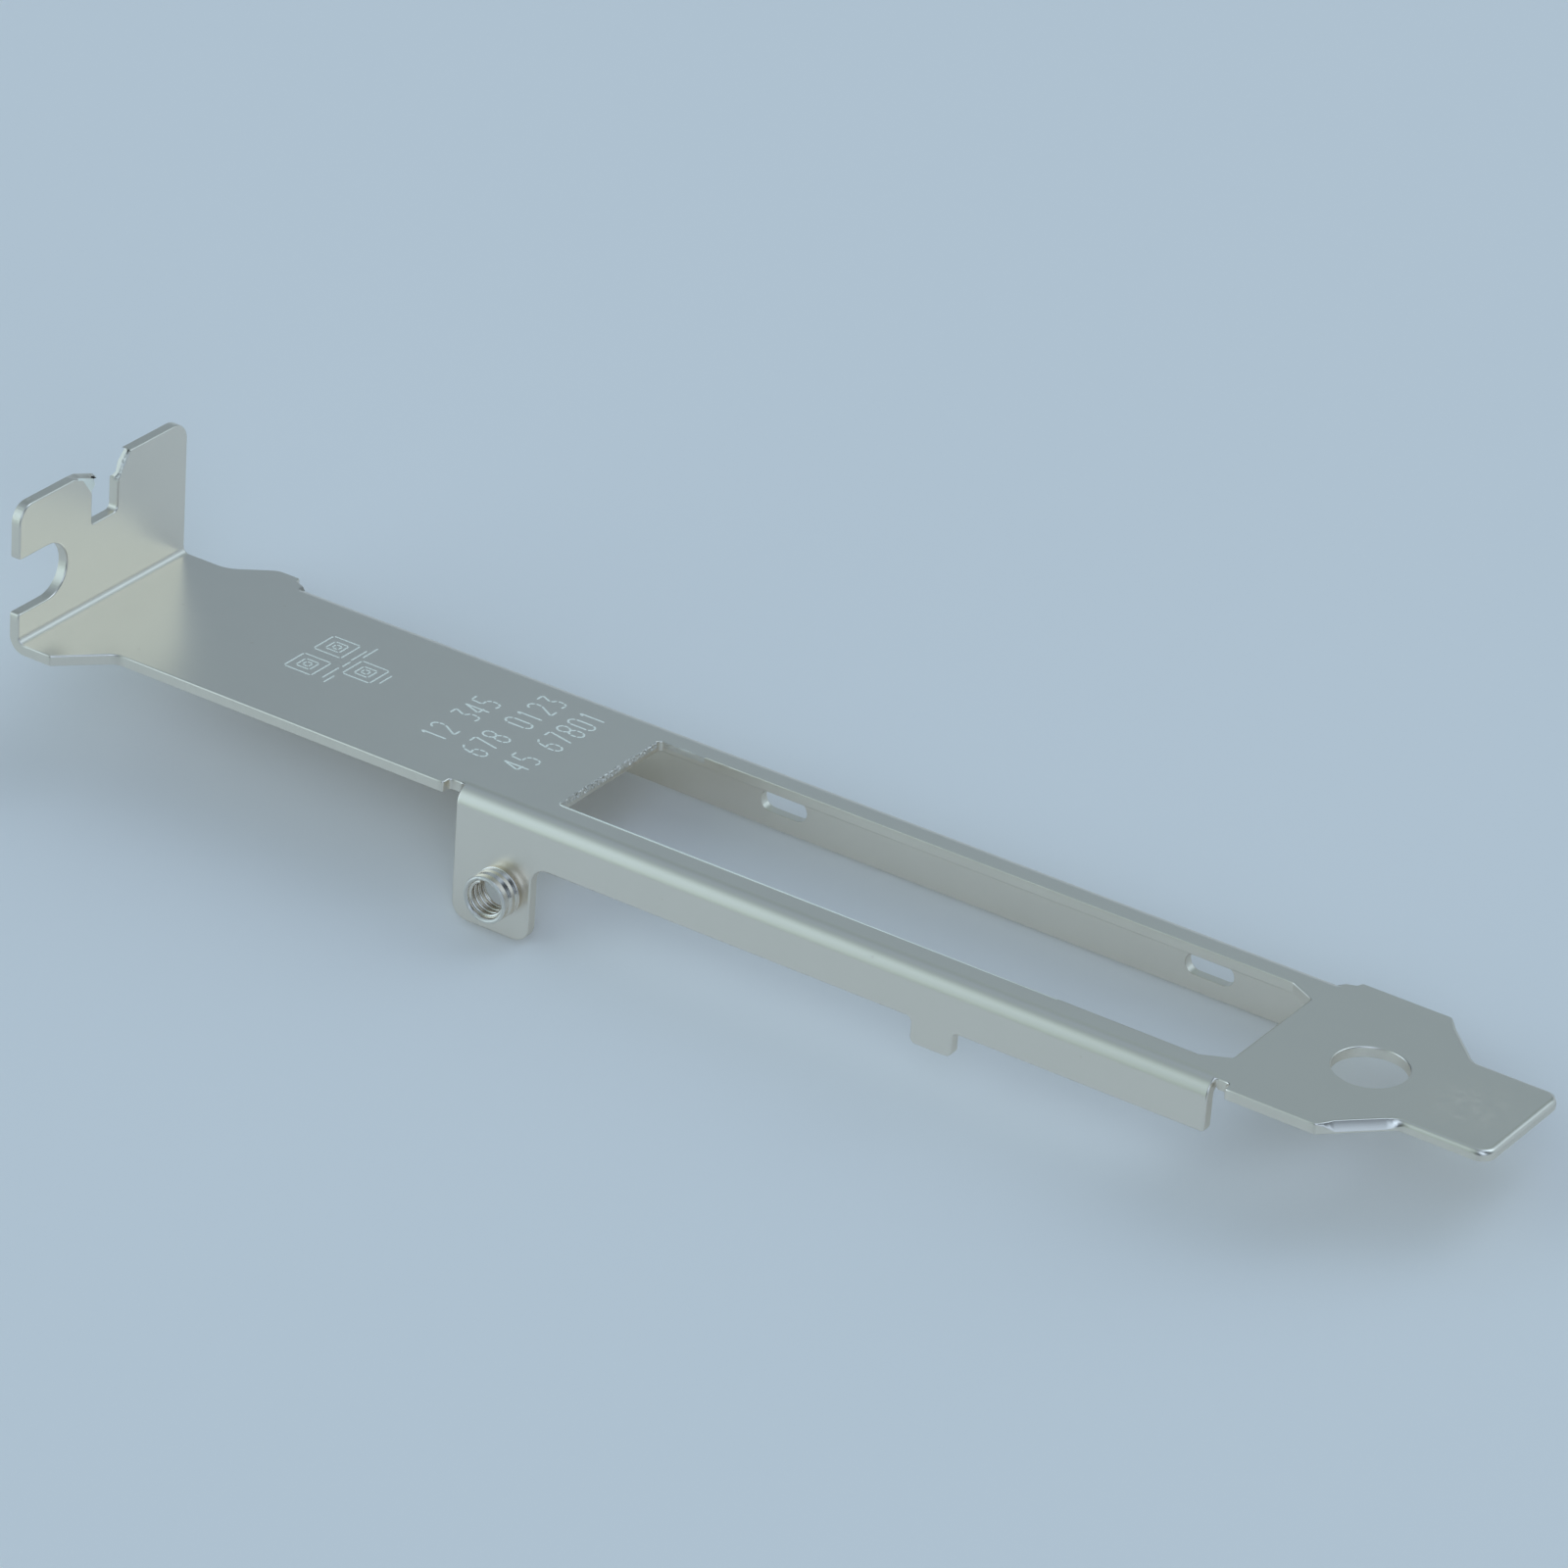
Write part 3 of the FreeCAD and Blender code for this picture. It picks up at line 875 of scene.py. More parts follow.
DIGITS: dict[str, list[list[Point]]] = {
    "0": [
        [(0.0, 0.15), (0.0, 0.85), (0.3, 1.0), (0.7, 1.0), (1.0, 0.85)]
        + [(1.0, 0.15), (0.7, 0.0), (0.3, 0.0), (0.0, 0.15)],
    ],
    "1": [[(0.2, 0.8), (0.5, 1.0), (0.5, 0.0)]],
    "2": [[(0.0, 0.85), (0.3, 1.0), (0.7, 1.0), (1.0, 0.85), (1.0, 0.6), (0.0, 0.0), (1.0, 0.0)]],
    "3": [[(0.0, 1.0), (1.0, 1.0), (0.45, 0.58), (1.0, 0.4), (1.0, 0.15), (0.7, 0.0), (0.0, 0.05)]],
    "4": [[(0.7, 0.0), (0.7, 1.0), (0.0, 0.3), (1.0, 0.3)]],
    "5": [
        [(1.0, 1.0), (0.1, 1.0), (0.0, 0.55), (0.7, 0.55)]
        + [(1.0, 0.4), (1.0, 0.15), (0.7, 0.0), (0.0, 0.05)],
    ],
    "6": [
        [(0.9, 1.0), (0.3, 0.85), (0.0, 0.45), (0.0, 0.15), (0.3, 0.0)]
        + [(0.7, 0.0), (1.0, 0.15), (1.0, 0.4), (0.7, 0.55), (0.0, 0.5)],
    ],
    "7": [[(0.0, 1.0), (1.0, 1.0), (0.4, 0.0)]],
    "8": [
        [(0.3, 0.54), (0.0, 0.7), (0.0, 0.88), (0.3, 1.0), (0.7, 1.0)]
        + [(1.0, 0.88), (1.0, 0.7), (0.7, 0.54), (0.3, 0.54)],
        [(0.3, 0.54), (0.0, 0.4), (0.0, 0.14), (0.3, 0.0)]
        + [(0.7, 0.0), (1.0, 0.14), (1.0, 0.4), (0.7, 0.54)],
    ],
}


@dataclass(frozen=True)
class NumberRow:
    """A row of plain numerals that runs from the near side to the far side, with its tops to the tab."""

    text: str
    top: float
    start: float
    height: float = 2.25
    width: float = 0.8
    pitch: float = 1.28

    def strokes(self) -> list[Stroke]:
        """The grooves of the row.

        Returns:
            The strokes.
        """
        out = []
        for i, letter in enumerate(self.text):
            for path in DIGITS.get(letter, []):
                spots = [self._place(i, p) for p in path]
                out.extend(Stroke(*lifted(a, b)) for a, b in zip(spots, spots[1:]))
        return out

    def _place(self, index: int, spot: Point) -> Point:
        """Where a point of a numeral lies on the blade."""
        u = self.top + (1.0 - spot[1]) * self.height
        return u, self.start + index * self.pitch + spot[0] * self.width


@dataclass(frozen=True)
class SquareFigure:
    """Three squares inside each other."""

    u: float
    v: float
    sides: tuple[float, ...] = (2.46, 1.24, 0.56)
    half_width: float = 0.07

    def strokes(self) -> list[Stroke]:
        """The grooves of the squares.

        Returns:
            The strokes.
        """
        out = []
        for side in self.sides:
            h = side / 2.0
            ring = [(self.u + a * h, self.v + b * h) for a, b in SQUARE]
            out.extend(Stroke(*lifted(ring[k - 1], ring[k]), self.half_width) for k in range(4))
        return out


@dataclass(frozen=True)
class Marks:
    """Everything struck into the blade: three square figures, their bars and three rows of numerals."""

    figures: tuple[SquareFigure, ...] = (
        SquareFigure(18.72, 2.24),
        SquareFigure(18.68, -1.28),
        SquareFigure(22.64, 0.5),
    )
    bars: tuple[Line, ...] = (
        ((20.75, 1.3), (20.75, 3.1)),
        ((20.75, -0.3), (20.75, -2.2)),
        ((21.15, 2.2), (21.15, 3.9)),
        ((20.85, 0.1), (20.85, 1.0)),
        ((24.45, -0.2), (24.45, 1.2)),
        ((21.25, -1.5), (21.25, -2.7)),
    )
    rows: tuple[NumberRow, ...] = (
        NumberRow("12 345", 30.95, -4.3),
        NumberRow("678 0123", 34.55, -4.4, pitch=1.38),
        NumberRow("45 67801", 38.15, -4.3, pitch=1.36),
    )

    def strokes(self) -> list[Stroke]:
        """All grooves.

        Returns:
            The strokes.
        """
        out = [Stroke(a, b, self.figures[0].half_width) for a, b in self.bars]
        for group in (*self.figures, *self.rows):
            out.extend(group.strokes())
        return out


# Sheet


@dataclass
class MeshRows:
    """Vertices, faces and corner directions that grow into one mesh."""

    flat: Rows = field(default_factory=list)
    normal: Rows = field(default_factory=list)
    trace: Rows = field(default_factory=list)
    faces: list[tuple[int, ...]] = field(default_factory=list)
    parts: list[int] = field(default_factory=list)
    hard: list[bool] = field(default_factory=list)

    def add(self, flat: np.ndarray, normal: np.ndarray, trace: np.ndarray) -> np.ndarray:
        """Add vertices.

        Args:
            flat: Rows of u, v and depth.
            normal: Rows of directions.
            trace: Rows of the texture place.

        Returns:
            Their numbers.
        """
        first = len(self.flat)
        self.flat.extend(map(tuple, flat))
        self.normal.extend(map(tuple, normal))
        self.trace.extend(map(tuple, trace))
        return np.arange(first, first + len(flat))

    def face(self, corners: tuple[int, ...], part: Part, hard: bool = False) -> None:
        """Add one face.

        Args:
            corners: Its vertex numbers in order.
            part: Its finish.
            hard: Whether it is shaded flat.
        """
        self.faces.append(corners)
        self.parts.append(int(part))
        self.hard.append(hard)


@dataclass
class Sheet:
    """The whole folded sheet."""

    sizes: SheetSizes
    edges: EdgeSizes
    pose: RestPose
    marks: Marks
    corner: StruckCorner
    rows: MeshRows = field(default_factory=MeshRows)

    def build(self) -> bpy.types.Object:
        """Make the folded sheet's object.

        Returns:
            The object.
        """
        blank = Blank(self.sizes, self.edges)
        loops = blank.build()
        tops, bottoms = [], []
        for loop in loops:
            top, bottom = self._wall(loop)
            tops.append(top)
            bottoms.append(bottom)
        self._face(blank, tops, Side.OUTER, [self.corner, *self.marks.strokes()])
        self._face(blank, bottoms, Side.INNER, [])
        return self._object()

    def dress(self, piece: bpy.types.Object, finishes: list[bpy.types.Material]) -> None:
        """Give the sheet its finishes and put it in the frame.

        Args:
            piece: The sheet's object.
            finishes: Its finishes, in the order of Part.
        """
        for finish in finishes:
            piece.data.materials.append(finish)
        settle(piece)

    def _wall(self, loop: Loop) -> tuple[np.ndarray, np.ndarray]:
        """The blanked wall of one outline, with its rolled outer edge and its burr edge.

        Args:
            loop: The outline.

        Returns:
            The vertex numbers of its ring on the outer face and on the inner face.
        """
        e = self.edges
        rng = np.random.default_rng(SEED + len(self.rows.flat))
        count = len(loop.points)
        left = loop.lefts()
        out = -left / np.linalg.norm(left, axis=1, keepdims=True)
        run = np.cumsum(np.linalg.norm(np.roll(loop.points, 1, axis=0) - loop.points, axis=1))
        slices = self._lipped(loop) if loop.from_below else self._rolled(loop)
        rings = []
        struck = np.zeros(count, dtype=bool)
        for k, (inset, depth, up, share) in enumerate(slices):
            shake = np.abs(rng.normal(0.0, 1.0, count)) * (e.rough + e.torn * loop.torn) * share
            place = loop.points + left * (inset + shake)[:, None]
            place = place + loop.back * np.clip(depth / e.back, 0.0, 1.0)[:, None]
            if 0 < k < Level.TORN:
                depth = depth + rng.normal(0.0, e.torn / 2.0, count) * loop.torn
            sunk = self.corner.sink(place) if not loop.hole else np.zeros(count)
            struck |= sunk > e.struck_step
            depth = np.where(sunk > 0.0, np.maximum(depth, sunk + e.struck_step * k), depth)
            rise = np.broadcast_to(np.asarray(up, dtype=float), (count,))
            normal = np.column_stack([out * np.sqrt(1.0 - rise**2)[:, None], rise])
            trace = np.column_stack([run, depth, np.ones(count)])
            rings.append(self.rows.add(np.column_stack([place, depth]), normal, trace))
        ragged = (loop.torn > e.ragged) & (np.roll(loop.torn, -1) > e.ragged)
        for k, (upper, lower) in enumerate(zip(rings, rings[1:])):
            for i in range(count):
                j = (i + 1) % count
                part = self._wall_part(loop, k, i, bool(ragged[i]), bool(struck[i] or struck[j]))
                hard = part in (Part.TORN, Part.MARK)
                self.rows.face((upper[i], lower[i], lower[j], upper[j]), part, hard)
        return rings[0], rings[-1]

    def _wall_part(self, loop: Loop, level: int, spot: int, ragged: bool, struck: bool) -> Part:
        """Which finish a face of a wall has.

        Args:
            loop: The outline.
            level: How many slices lie above it.
            spot: Its place along the outline.
            ragged: Whether the edge is torn there.
            struck: Whether the corner's struck facet reaches it.

        Returns:
            Its part.
        """
        # The window burr's top and the beaten facet's edge get the painted highlight finish
        if loop.from_below and level == 0 and loop.lip[spot] > self.edges.least_lip:
            return Part.MARK
        if struck and level < Level.ROLL:
            return Part.MARK
        if ragged and level < Level.TORN:
            return Part.TORN
        rolled = level > Level.BURR if loop.from_below else level < Level.ROLL
        return Part.FACE if rolled else Part.EDGE

    def _lipped(self, loop: Loop) -> list[Slice]:
        """Rings of a wall that was cut from below, with a burr along its outer edge.

        Args:
            loop: The outline.

        Returns:
            For each ring its inset, its depth, how much it looks up and its share of the roughness.
        """
        e = self.edges
        none = np.zeros(len(loop.points))
        full, lip = none + self.sizes.thickness, e.lip * loop.lip
        return [
            (none + e.roll, none, 1.0, 0.4),
            (none + e.lip, -lip, 0.8, 0.6),
            (none, e.lip_fall - lip / 2.0, 0.3, 0.9),
            (none, none + e.tear_levels[0], 0.0, 1.0),
            (none, none + e.tear_levels[1], 0.0, 1.0),
            (none, none + e.break_line, 0.0, 0.3),
            (none, full - e.roll * 2.0, 0.0, 0.1),
            (none, full - e.roll, 0.0, 0.1),
            (none + e.roll, full, -1.0, 0.0),
        ]

    def _rolled(self, loop: Loop) -> list[Slice]:
        """Rings of a wall that was cut from above, with a rolled edge, a torn land and a burr below.

        Args:
            loop: The outline.

        Returns:
            For each ring its inset, its depth, how much it looks up and its share of the roughness.
        """
        s, e = self.sizes, self.edges
        u, lean = loop.points[:, 0], math.sqrt(0.5)
        none = np.zeros(len(u))
        full = none + s.thickness
        outer = 0.0 if loop.hole else 1.0
        tip = outer * np.clip((u - s.foot_corner - e.tip_start) / e.tip_fade, 0.0, 1.0)
        before = np.clip((s.shoulder - u + e.slant_end) / e.tip_fade, 0.0, 1.0)
        slant = tip * before * (loop.points[:, 1] < 0.0)
        roll = e.roll + (e.tip_roll - e.roll) * tip
        drop = roll + (e.slant_drop - e.tip_roll) * slant
        knee = (1.0 - lean) * (1.0 - slant)
        knee_in, knee_down = (knee + share * slant for share in e.slant_knee)
        break_line = np.maximum(e.break_line, drop + e.least_land)
        third = (break_line - drop) / 3.0
        return [
            (roll, none, 1.0, 0.4),
            (roll * knee_in, drop * knee_down, lean - e.slant_ease * slant, 0.7),
            (none, drop, e.slant_up * slant, 1.0),
            (none, drop + third, 0.0, 1.0),
            (none, drop + third * 2.0, 0.0, 0.8),
            (none, break_line, 0.0, 0.3),
            (none + e.taper[0], (break_line + full) / 2.0, 0.0, 0.15),
            (none + e.taper[1], full - e.burr, 0.0, 0.15),
            (none + e.burr + e.taper[1], full, -1.0, 0.0),
        ]

    def _face(
        self, blank: Blank, rings: list[np.ndarray], side: Side, strokes: list[Stroke | StruckCorner]
    ) -> None:
        """One face of the sheet, split on its folds and grooves.

        Args:
            blank: The blank, for its fold lines.
            rings: Vertex numbers of each outline's ring on this face.
            side: Which face.
            strokes: What is struck into it.
        """
        flat = np.array(self.rows.flat)
        spots: list[Vector] = []
        numbers: list[int] = []
        links: list[tuple[int, int]] = []
        polygons: list[np.ndarray] = []
        for ring in rings:
            first = len(spots)
            spots.extend(Vector(flat[n, :2]) for n in ring)
            numbers.extend(int(n) for n in ring)
            links.extend((first + i, first + (i + 1) % len(ring)) for i in range(len(ring)))
            polygons.append(flat[ring, :2])
        for a, b in self._fold_lines(blank, polygons[0]):
            self._link(spots, numbers, links, a, b)
        for stroke in strokes:
            for a, b in stroke.lines():
                self._link(spots, numbers, links, a, b)
        made = delaunay_2d_cdt(spots, links, [], 0, TINY, True)
        depth = 0.0 if side is Side.OUTER else self.sizes.thickness
        self._keep(made, numbers, polygons, depth, strokes)

    def _link(
        self, spots: list[Vector], numbers: list[int], links: list[tuple[int, int]], a: Point, b: Point
    ) -> None:
        """Add a line that the face is split on, reusing a spot that lies there already.

        Args:
            spots: The face's spots, which may grow.
            numbers: Vertex number of each spot, or -1 for a new one.
            links: The lines so far, as pairs of spots.
            a: Where the line starts.
            b: Where it ends.
        """
        ends = []
        for p in (a, b):
            here = Vector(p)
            near = next((i for i, q in enumerate(spots) if (q - here).length_squared < HAIR**2), None)
            if near is None:
                near = len(spots)
                spots.append(here)
                numbers.append(-1)
            ends.append(near)
        if ends[0] != ends[1]:
            links.append((ends[0], ends[1]))

    def _fold_lines(self, blank: Blank, outline: np.ndarray) -> list[Line]:
        """Fold lines from end to end of the ring on one face.

        Args:
            blank: The blank.
            outline: The outer ring on this face.

        Returns:
            The lines' ends.
        """
        s, e = self.sizes, self.edges
        out: list[Line] = []
        for line in blank.tab_lines():
            out.extend(self._crossings(outline, 0, line))
        for line in [*blank.near_lines(), *blank.far_lines()]:
            for a, b in self._crossings(outline, 1, line):
                low = s.near_start if line < 0.0 else s.far_start
                a = (max(a[0], low), a[1])
                b = (min(b[0], s.flange_end), b[1])
                if b[0] - a[0] > e.least_fold:
                    out.append((a, b))
        for u, step, fold in (
            (s.near_start, -1.0, s.near_fold),
            (s.flange_end, 1.0, s.near_fold),
            (s.far_start, -1.0, s.far_fold),
            (s.flange_end, 1.0, s.far_fold),
        ):
            side = math.copysign(1.0, fold)
            line = u + step * e.guard
            out.append(((line, fold - e.guard_in * side), (line, fold + e.guard_out * side)))
        return out

    def _crossings(self, outline: np.ndarray, axis: int, value: float) -> list[Line]:
        """Runs of a straight line that lie inside an outline.

        Args:
            outline: The closed outline.
            axis: 0 for a line of constant u and 1 for one of constant v.
            value: The constant.

        Returns:
            The ends of each run.
        """
        here, after = outline, np.roll(outline, -1, axis=0)
        low, high = here[:, axis] - value, after[:, axis] - value
        cut = []
        for i in np.nonzero((low > 0) != (high > 0))[0]:
            share = low[i] / (low[i] - high[i])
            cut.append(float(here[i, 1 - axis] + share * (after[i, 1 - axis] - here[i, 1 - axis])))
        cut.sort()
        pairs = zip(cut[::2], cut[1::2])
        if axis == 0:
            return [((value, a), (value, b)) for a, b in pairs]
        return [((a, value), (b, value)) for a, b in pairs]

    def _keep(
        self,
        made: tuple,
        numbers: list[int],
        polygons: list[np.ndarray],
        depth: float,
        strokes: list[Stroke | StruckCorner],
    ) -> None:
        """Keep the triangles that lie on the material.

        Args:
            made: The triangulation.
            numbers: Vertex number of each spot, or -1 for a new one.
            polygons: The outer outline and the holes.
            depth: Depth of this face.
            strokes: What is struck into it.
        """
        places = np.array([tuple(p) for p in made[0]])
        sink = np.zeros(len(places))
        for stroke in strokes:
            sink = np.maximum(sink, stroke.sink(places))
        up = 1.0 if depth == 0.0 else -1.0
        index = np.full(len(places), -1)
        for i, origin in enumerate(made[3]):
            known = [numbers[k] for k in origin if numbers[k] >= 0]
            if known:
                index[i] = known[0]
        fresh = np.nonzero(index < 0)[0]
        flat = np.column_stack([places[fresh], depth + sink[fresh]])
        normal = np.tile((0.0, 0.0, up), (len(fresh), 1))
        trace = np.column_stack([places[fresh], np.zeros(len(fresh))])
        index[fresh] = self.rows.add(flat, normal, trace)
        faces = np.array([f for f in made[2] if len(f) == 3])
        centres = places[faces].mean(axis=1)
        kept = inside(polygons[0], centres)
        for hole in polygons[1:]:
            kept &= ~inside(hole, centres)
        for face, centre_sink in zip(faces[kept], sink[faces[kept]].max(axis=1)):
            corners = tuple(int(index[k]) for k in face)
            if len(set(corners)) < 3:
                continue
            struck = centre_sink > HAIR
            # Struck grooves and the beaten facet get the painted highlight finish
            part = Part.MARK if struck else Part.FACE
            self.rows.face(corners if up > 0.0 else corners[::-1], part, struck)

    def _object(self) -> bpy.types.Object:
        """Fold the rows and make the mesh object.

        Returns:
            The object.
        """
        press = Press(self.sizes)
        points, normals = press.fold(np.array(self.rows.flat), np.array(self.rows.normal))
        mesh = bpy.data.meshes.new("folded_sheet")
        mesh.from_pydata(self.pose.points(points).tolist(), [], self.rows.faces)
        mesh.polygons.foreach_set("material_index", self.rows.parts)
        mesh.polygons.foreach_set("use_smooth", [True] * len(self.rows.faces))
        trace = mesh.attributes.new("trace", "FLOAT_VECTOR", "POINT")
        trace.data.foreach_set("vector", np.array(self.rows.trace).ravel())
        past = self.sizes.outer_bend - np.array(self.rows.flat)[:, 0]
        fold = mesh.attributes.new("fold", "FLOAT", "POINT")
        in_fold = (past > self.edges.rim) & (past < self.sizes.tab_run - self.edges.rim)
        fold.data.foreach_set("value", in_fold.astype(float))
        turned = self.pose.directions(normals)
        corner_normals = np.zeros((len(mesh.loops), 3))
        face_normals = np.array([tuple(p.normal) for p in mesh.polygons])
        k = 0
        for number, corners in enumerate(self.rows.faces):
            for vertex in corners:
                corner_normals[k] = face_normals[number] if self.rows.hard[number] else turned[vertex]
                k += 1
        mesh.normals_split_custom_set(corner_normals.tolist())
        piece = stand("folded_sheet", mesh)
        LOG.info("folded_sheet: %d vertices, %d faces", len(mesh.vertices), len(mesh.polygons))
        return piece


def inside(polygon: np.ndarray, points: np.ndarray) -> np.ndarray:
    """Which points lie inside a closed polygon.

    Args:
        polygon: The polygon's corners.
        points: The points.

    Returns:
        True for each point inside it.
    """
    hit = np.zeros(len(points), dtype=bool)
    x, y = points[:, 0], points[:, 1]
    for (x0, y0), (x1, y1) in zip(polygon, np.roll(polygon, -1, axis=0)):
        if y0 == y1:
            continue
        crosses = (y0 > y) != (y1 > y)
        hit ^= crosses & (x < (x1 - x0) * (y - y0) / (y1 - y0) + x0)
    return hit


# Threaded boss


@dataclass(frozen=True)
class Helix:
    """A round bead wound along the boss, made with geometry nodes."""

    name: str
    radius: float
    bead: float
    start: float
    turns: float
    pitch: float = 0.5
    around: int = 56
    section: int = 8

    def build(
        self, tree: bpy.types.NodeTree, finish: bpy.types.Material, turn: Matrix
    ) -> bpy.types.Object:
        """Wind the bead.

        Args:
            tree: The winding tree.
            finish: Its finish.
            turn: From the boss's own frame to the row frame.

        Returns:
            The bead as a plain mesh object.
        """
        host = stand(f"{self.name}_host", bpy.data.meshes.new(f"{self.name}_host"))
        wind = host.modifiers.new("wind", "NODES")
        wind.node_group = tree
        values = {
            "Radius": self.radius,
            "Bead": self.bead,
            "Height": self.turns * self.pitch,
            "Turns": self.turns,
            "Around": self.around,
            "Section": self.section,
            "Finish": finish,
        }
        for item in tree.interface.items_tree:
            if item.in_out == "INPUT" and item.name in values:
                wind[item.identifier] = values[item.name]
        graph = bpy.context.evaluated_depsgraph_get()
        mesh = bpy.data.meshes.new_from_object(host.evaluated_get(graph))
        host.modifiers.remove(wind)
        bpy.data.objects.remove(host)
        mesh.name = self.name
        mesh.transform(turn @ Matrix.Translation((0.0, 0.0, self.start)))
        piece = stand(self.name, mesh)
        LOG.info("%s: %d faces", self.name, len(mesh.polygons))
        return piece


def winding_tree() -> bpy.types.NodeTree:
    """The node tree that winds a round bead into a helix.

    Returns:
        The tree.
    """
    tree = bpy.data.node_groups.new("wound_bead", "GeometryNodeTree")
    face = tree.interface
    face.new_socket("Geometry", in_out="INPUT", socket_type="NodeSocketGeometry")
    for name in ("Radius", "Bead", "Height", "Turns"):
        face.new_socket(name, in_out="INPUT", socket_type="NodeSocketFloat")
    for name in ("Around", "Section"):
        face.new_socket(name, in_out="INPUT", socket_type="NodeSocketInt")
    face.new_socket("Finish", in_out="INPUT", socket_type="NodeSocketMaterial")
    face.new_socket("Geometry", in_out="OUTPUT", socket_type="NodeSocketGeometry")
    nodes, links = tree.nodes, tree.links
    source = nodes.new("NodeGroupInput")
    spiral = nodes.new("GeometryNodeCurveSpiral")
    section = nodes.new("GeometryNodeCurvePrimitiveCircle")
    sweep = nodes.new("GeometryNodeCurveToMesh")
    sweep.inputs["Fill Caps"].default_value = True
    smooth = nodes.new("GeometryNodeSetShadeSmooth")
    real = nodes.new("GeometryNodeRealizeInstances")
    paint = nodes.new("GeometryNodeSetMaterial")
    out = nodes.new("NodeGroupOutput")
    for name, target in (
        ("Around", spiral.inputs["Resolution"]),
        ("Turns", spiral.inputs["Rotations"]),
        ("Radius", spiral.inputs["Start Radius"]),
        ("Radius", spiral.inputs["End Radius"]),
        ("Height", spiral.inputs["Height"]),
        ("Section", section.inputs["Resolution"]),
        ("Bead", section.inputs["Radius"]),
        ("Finish", paint.inputs["Material"]),
    ):
        links.new(source.outputs[name], target)
    links.new(spiral.outputs["Curve"], sweep.inputs["Curve"])
    links.new(section.outputs["Curve"], sweep.inputs["Profile Curve"])
    chain = (sweep, smooth, real, paint, out)
    for before, after in zip(chain, chain[1:]):
        links.new(before.outputs[0], after.inputs["Geometry"])
    return tree


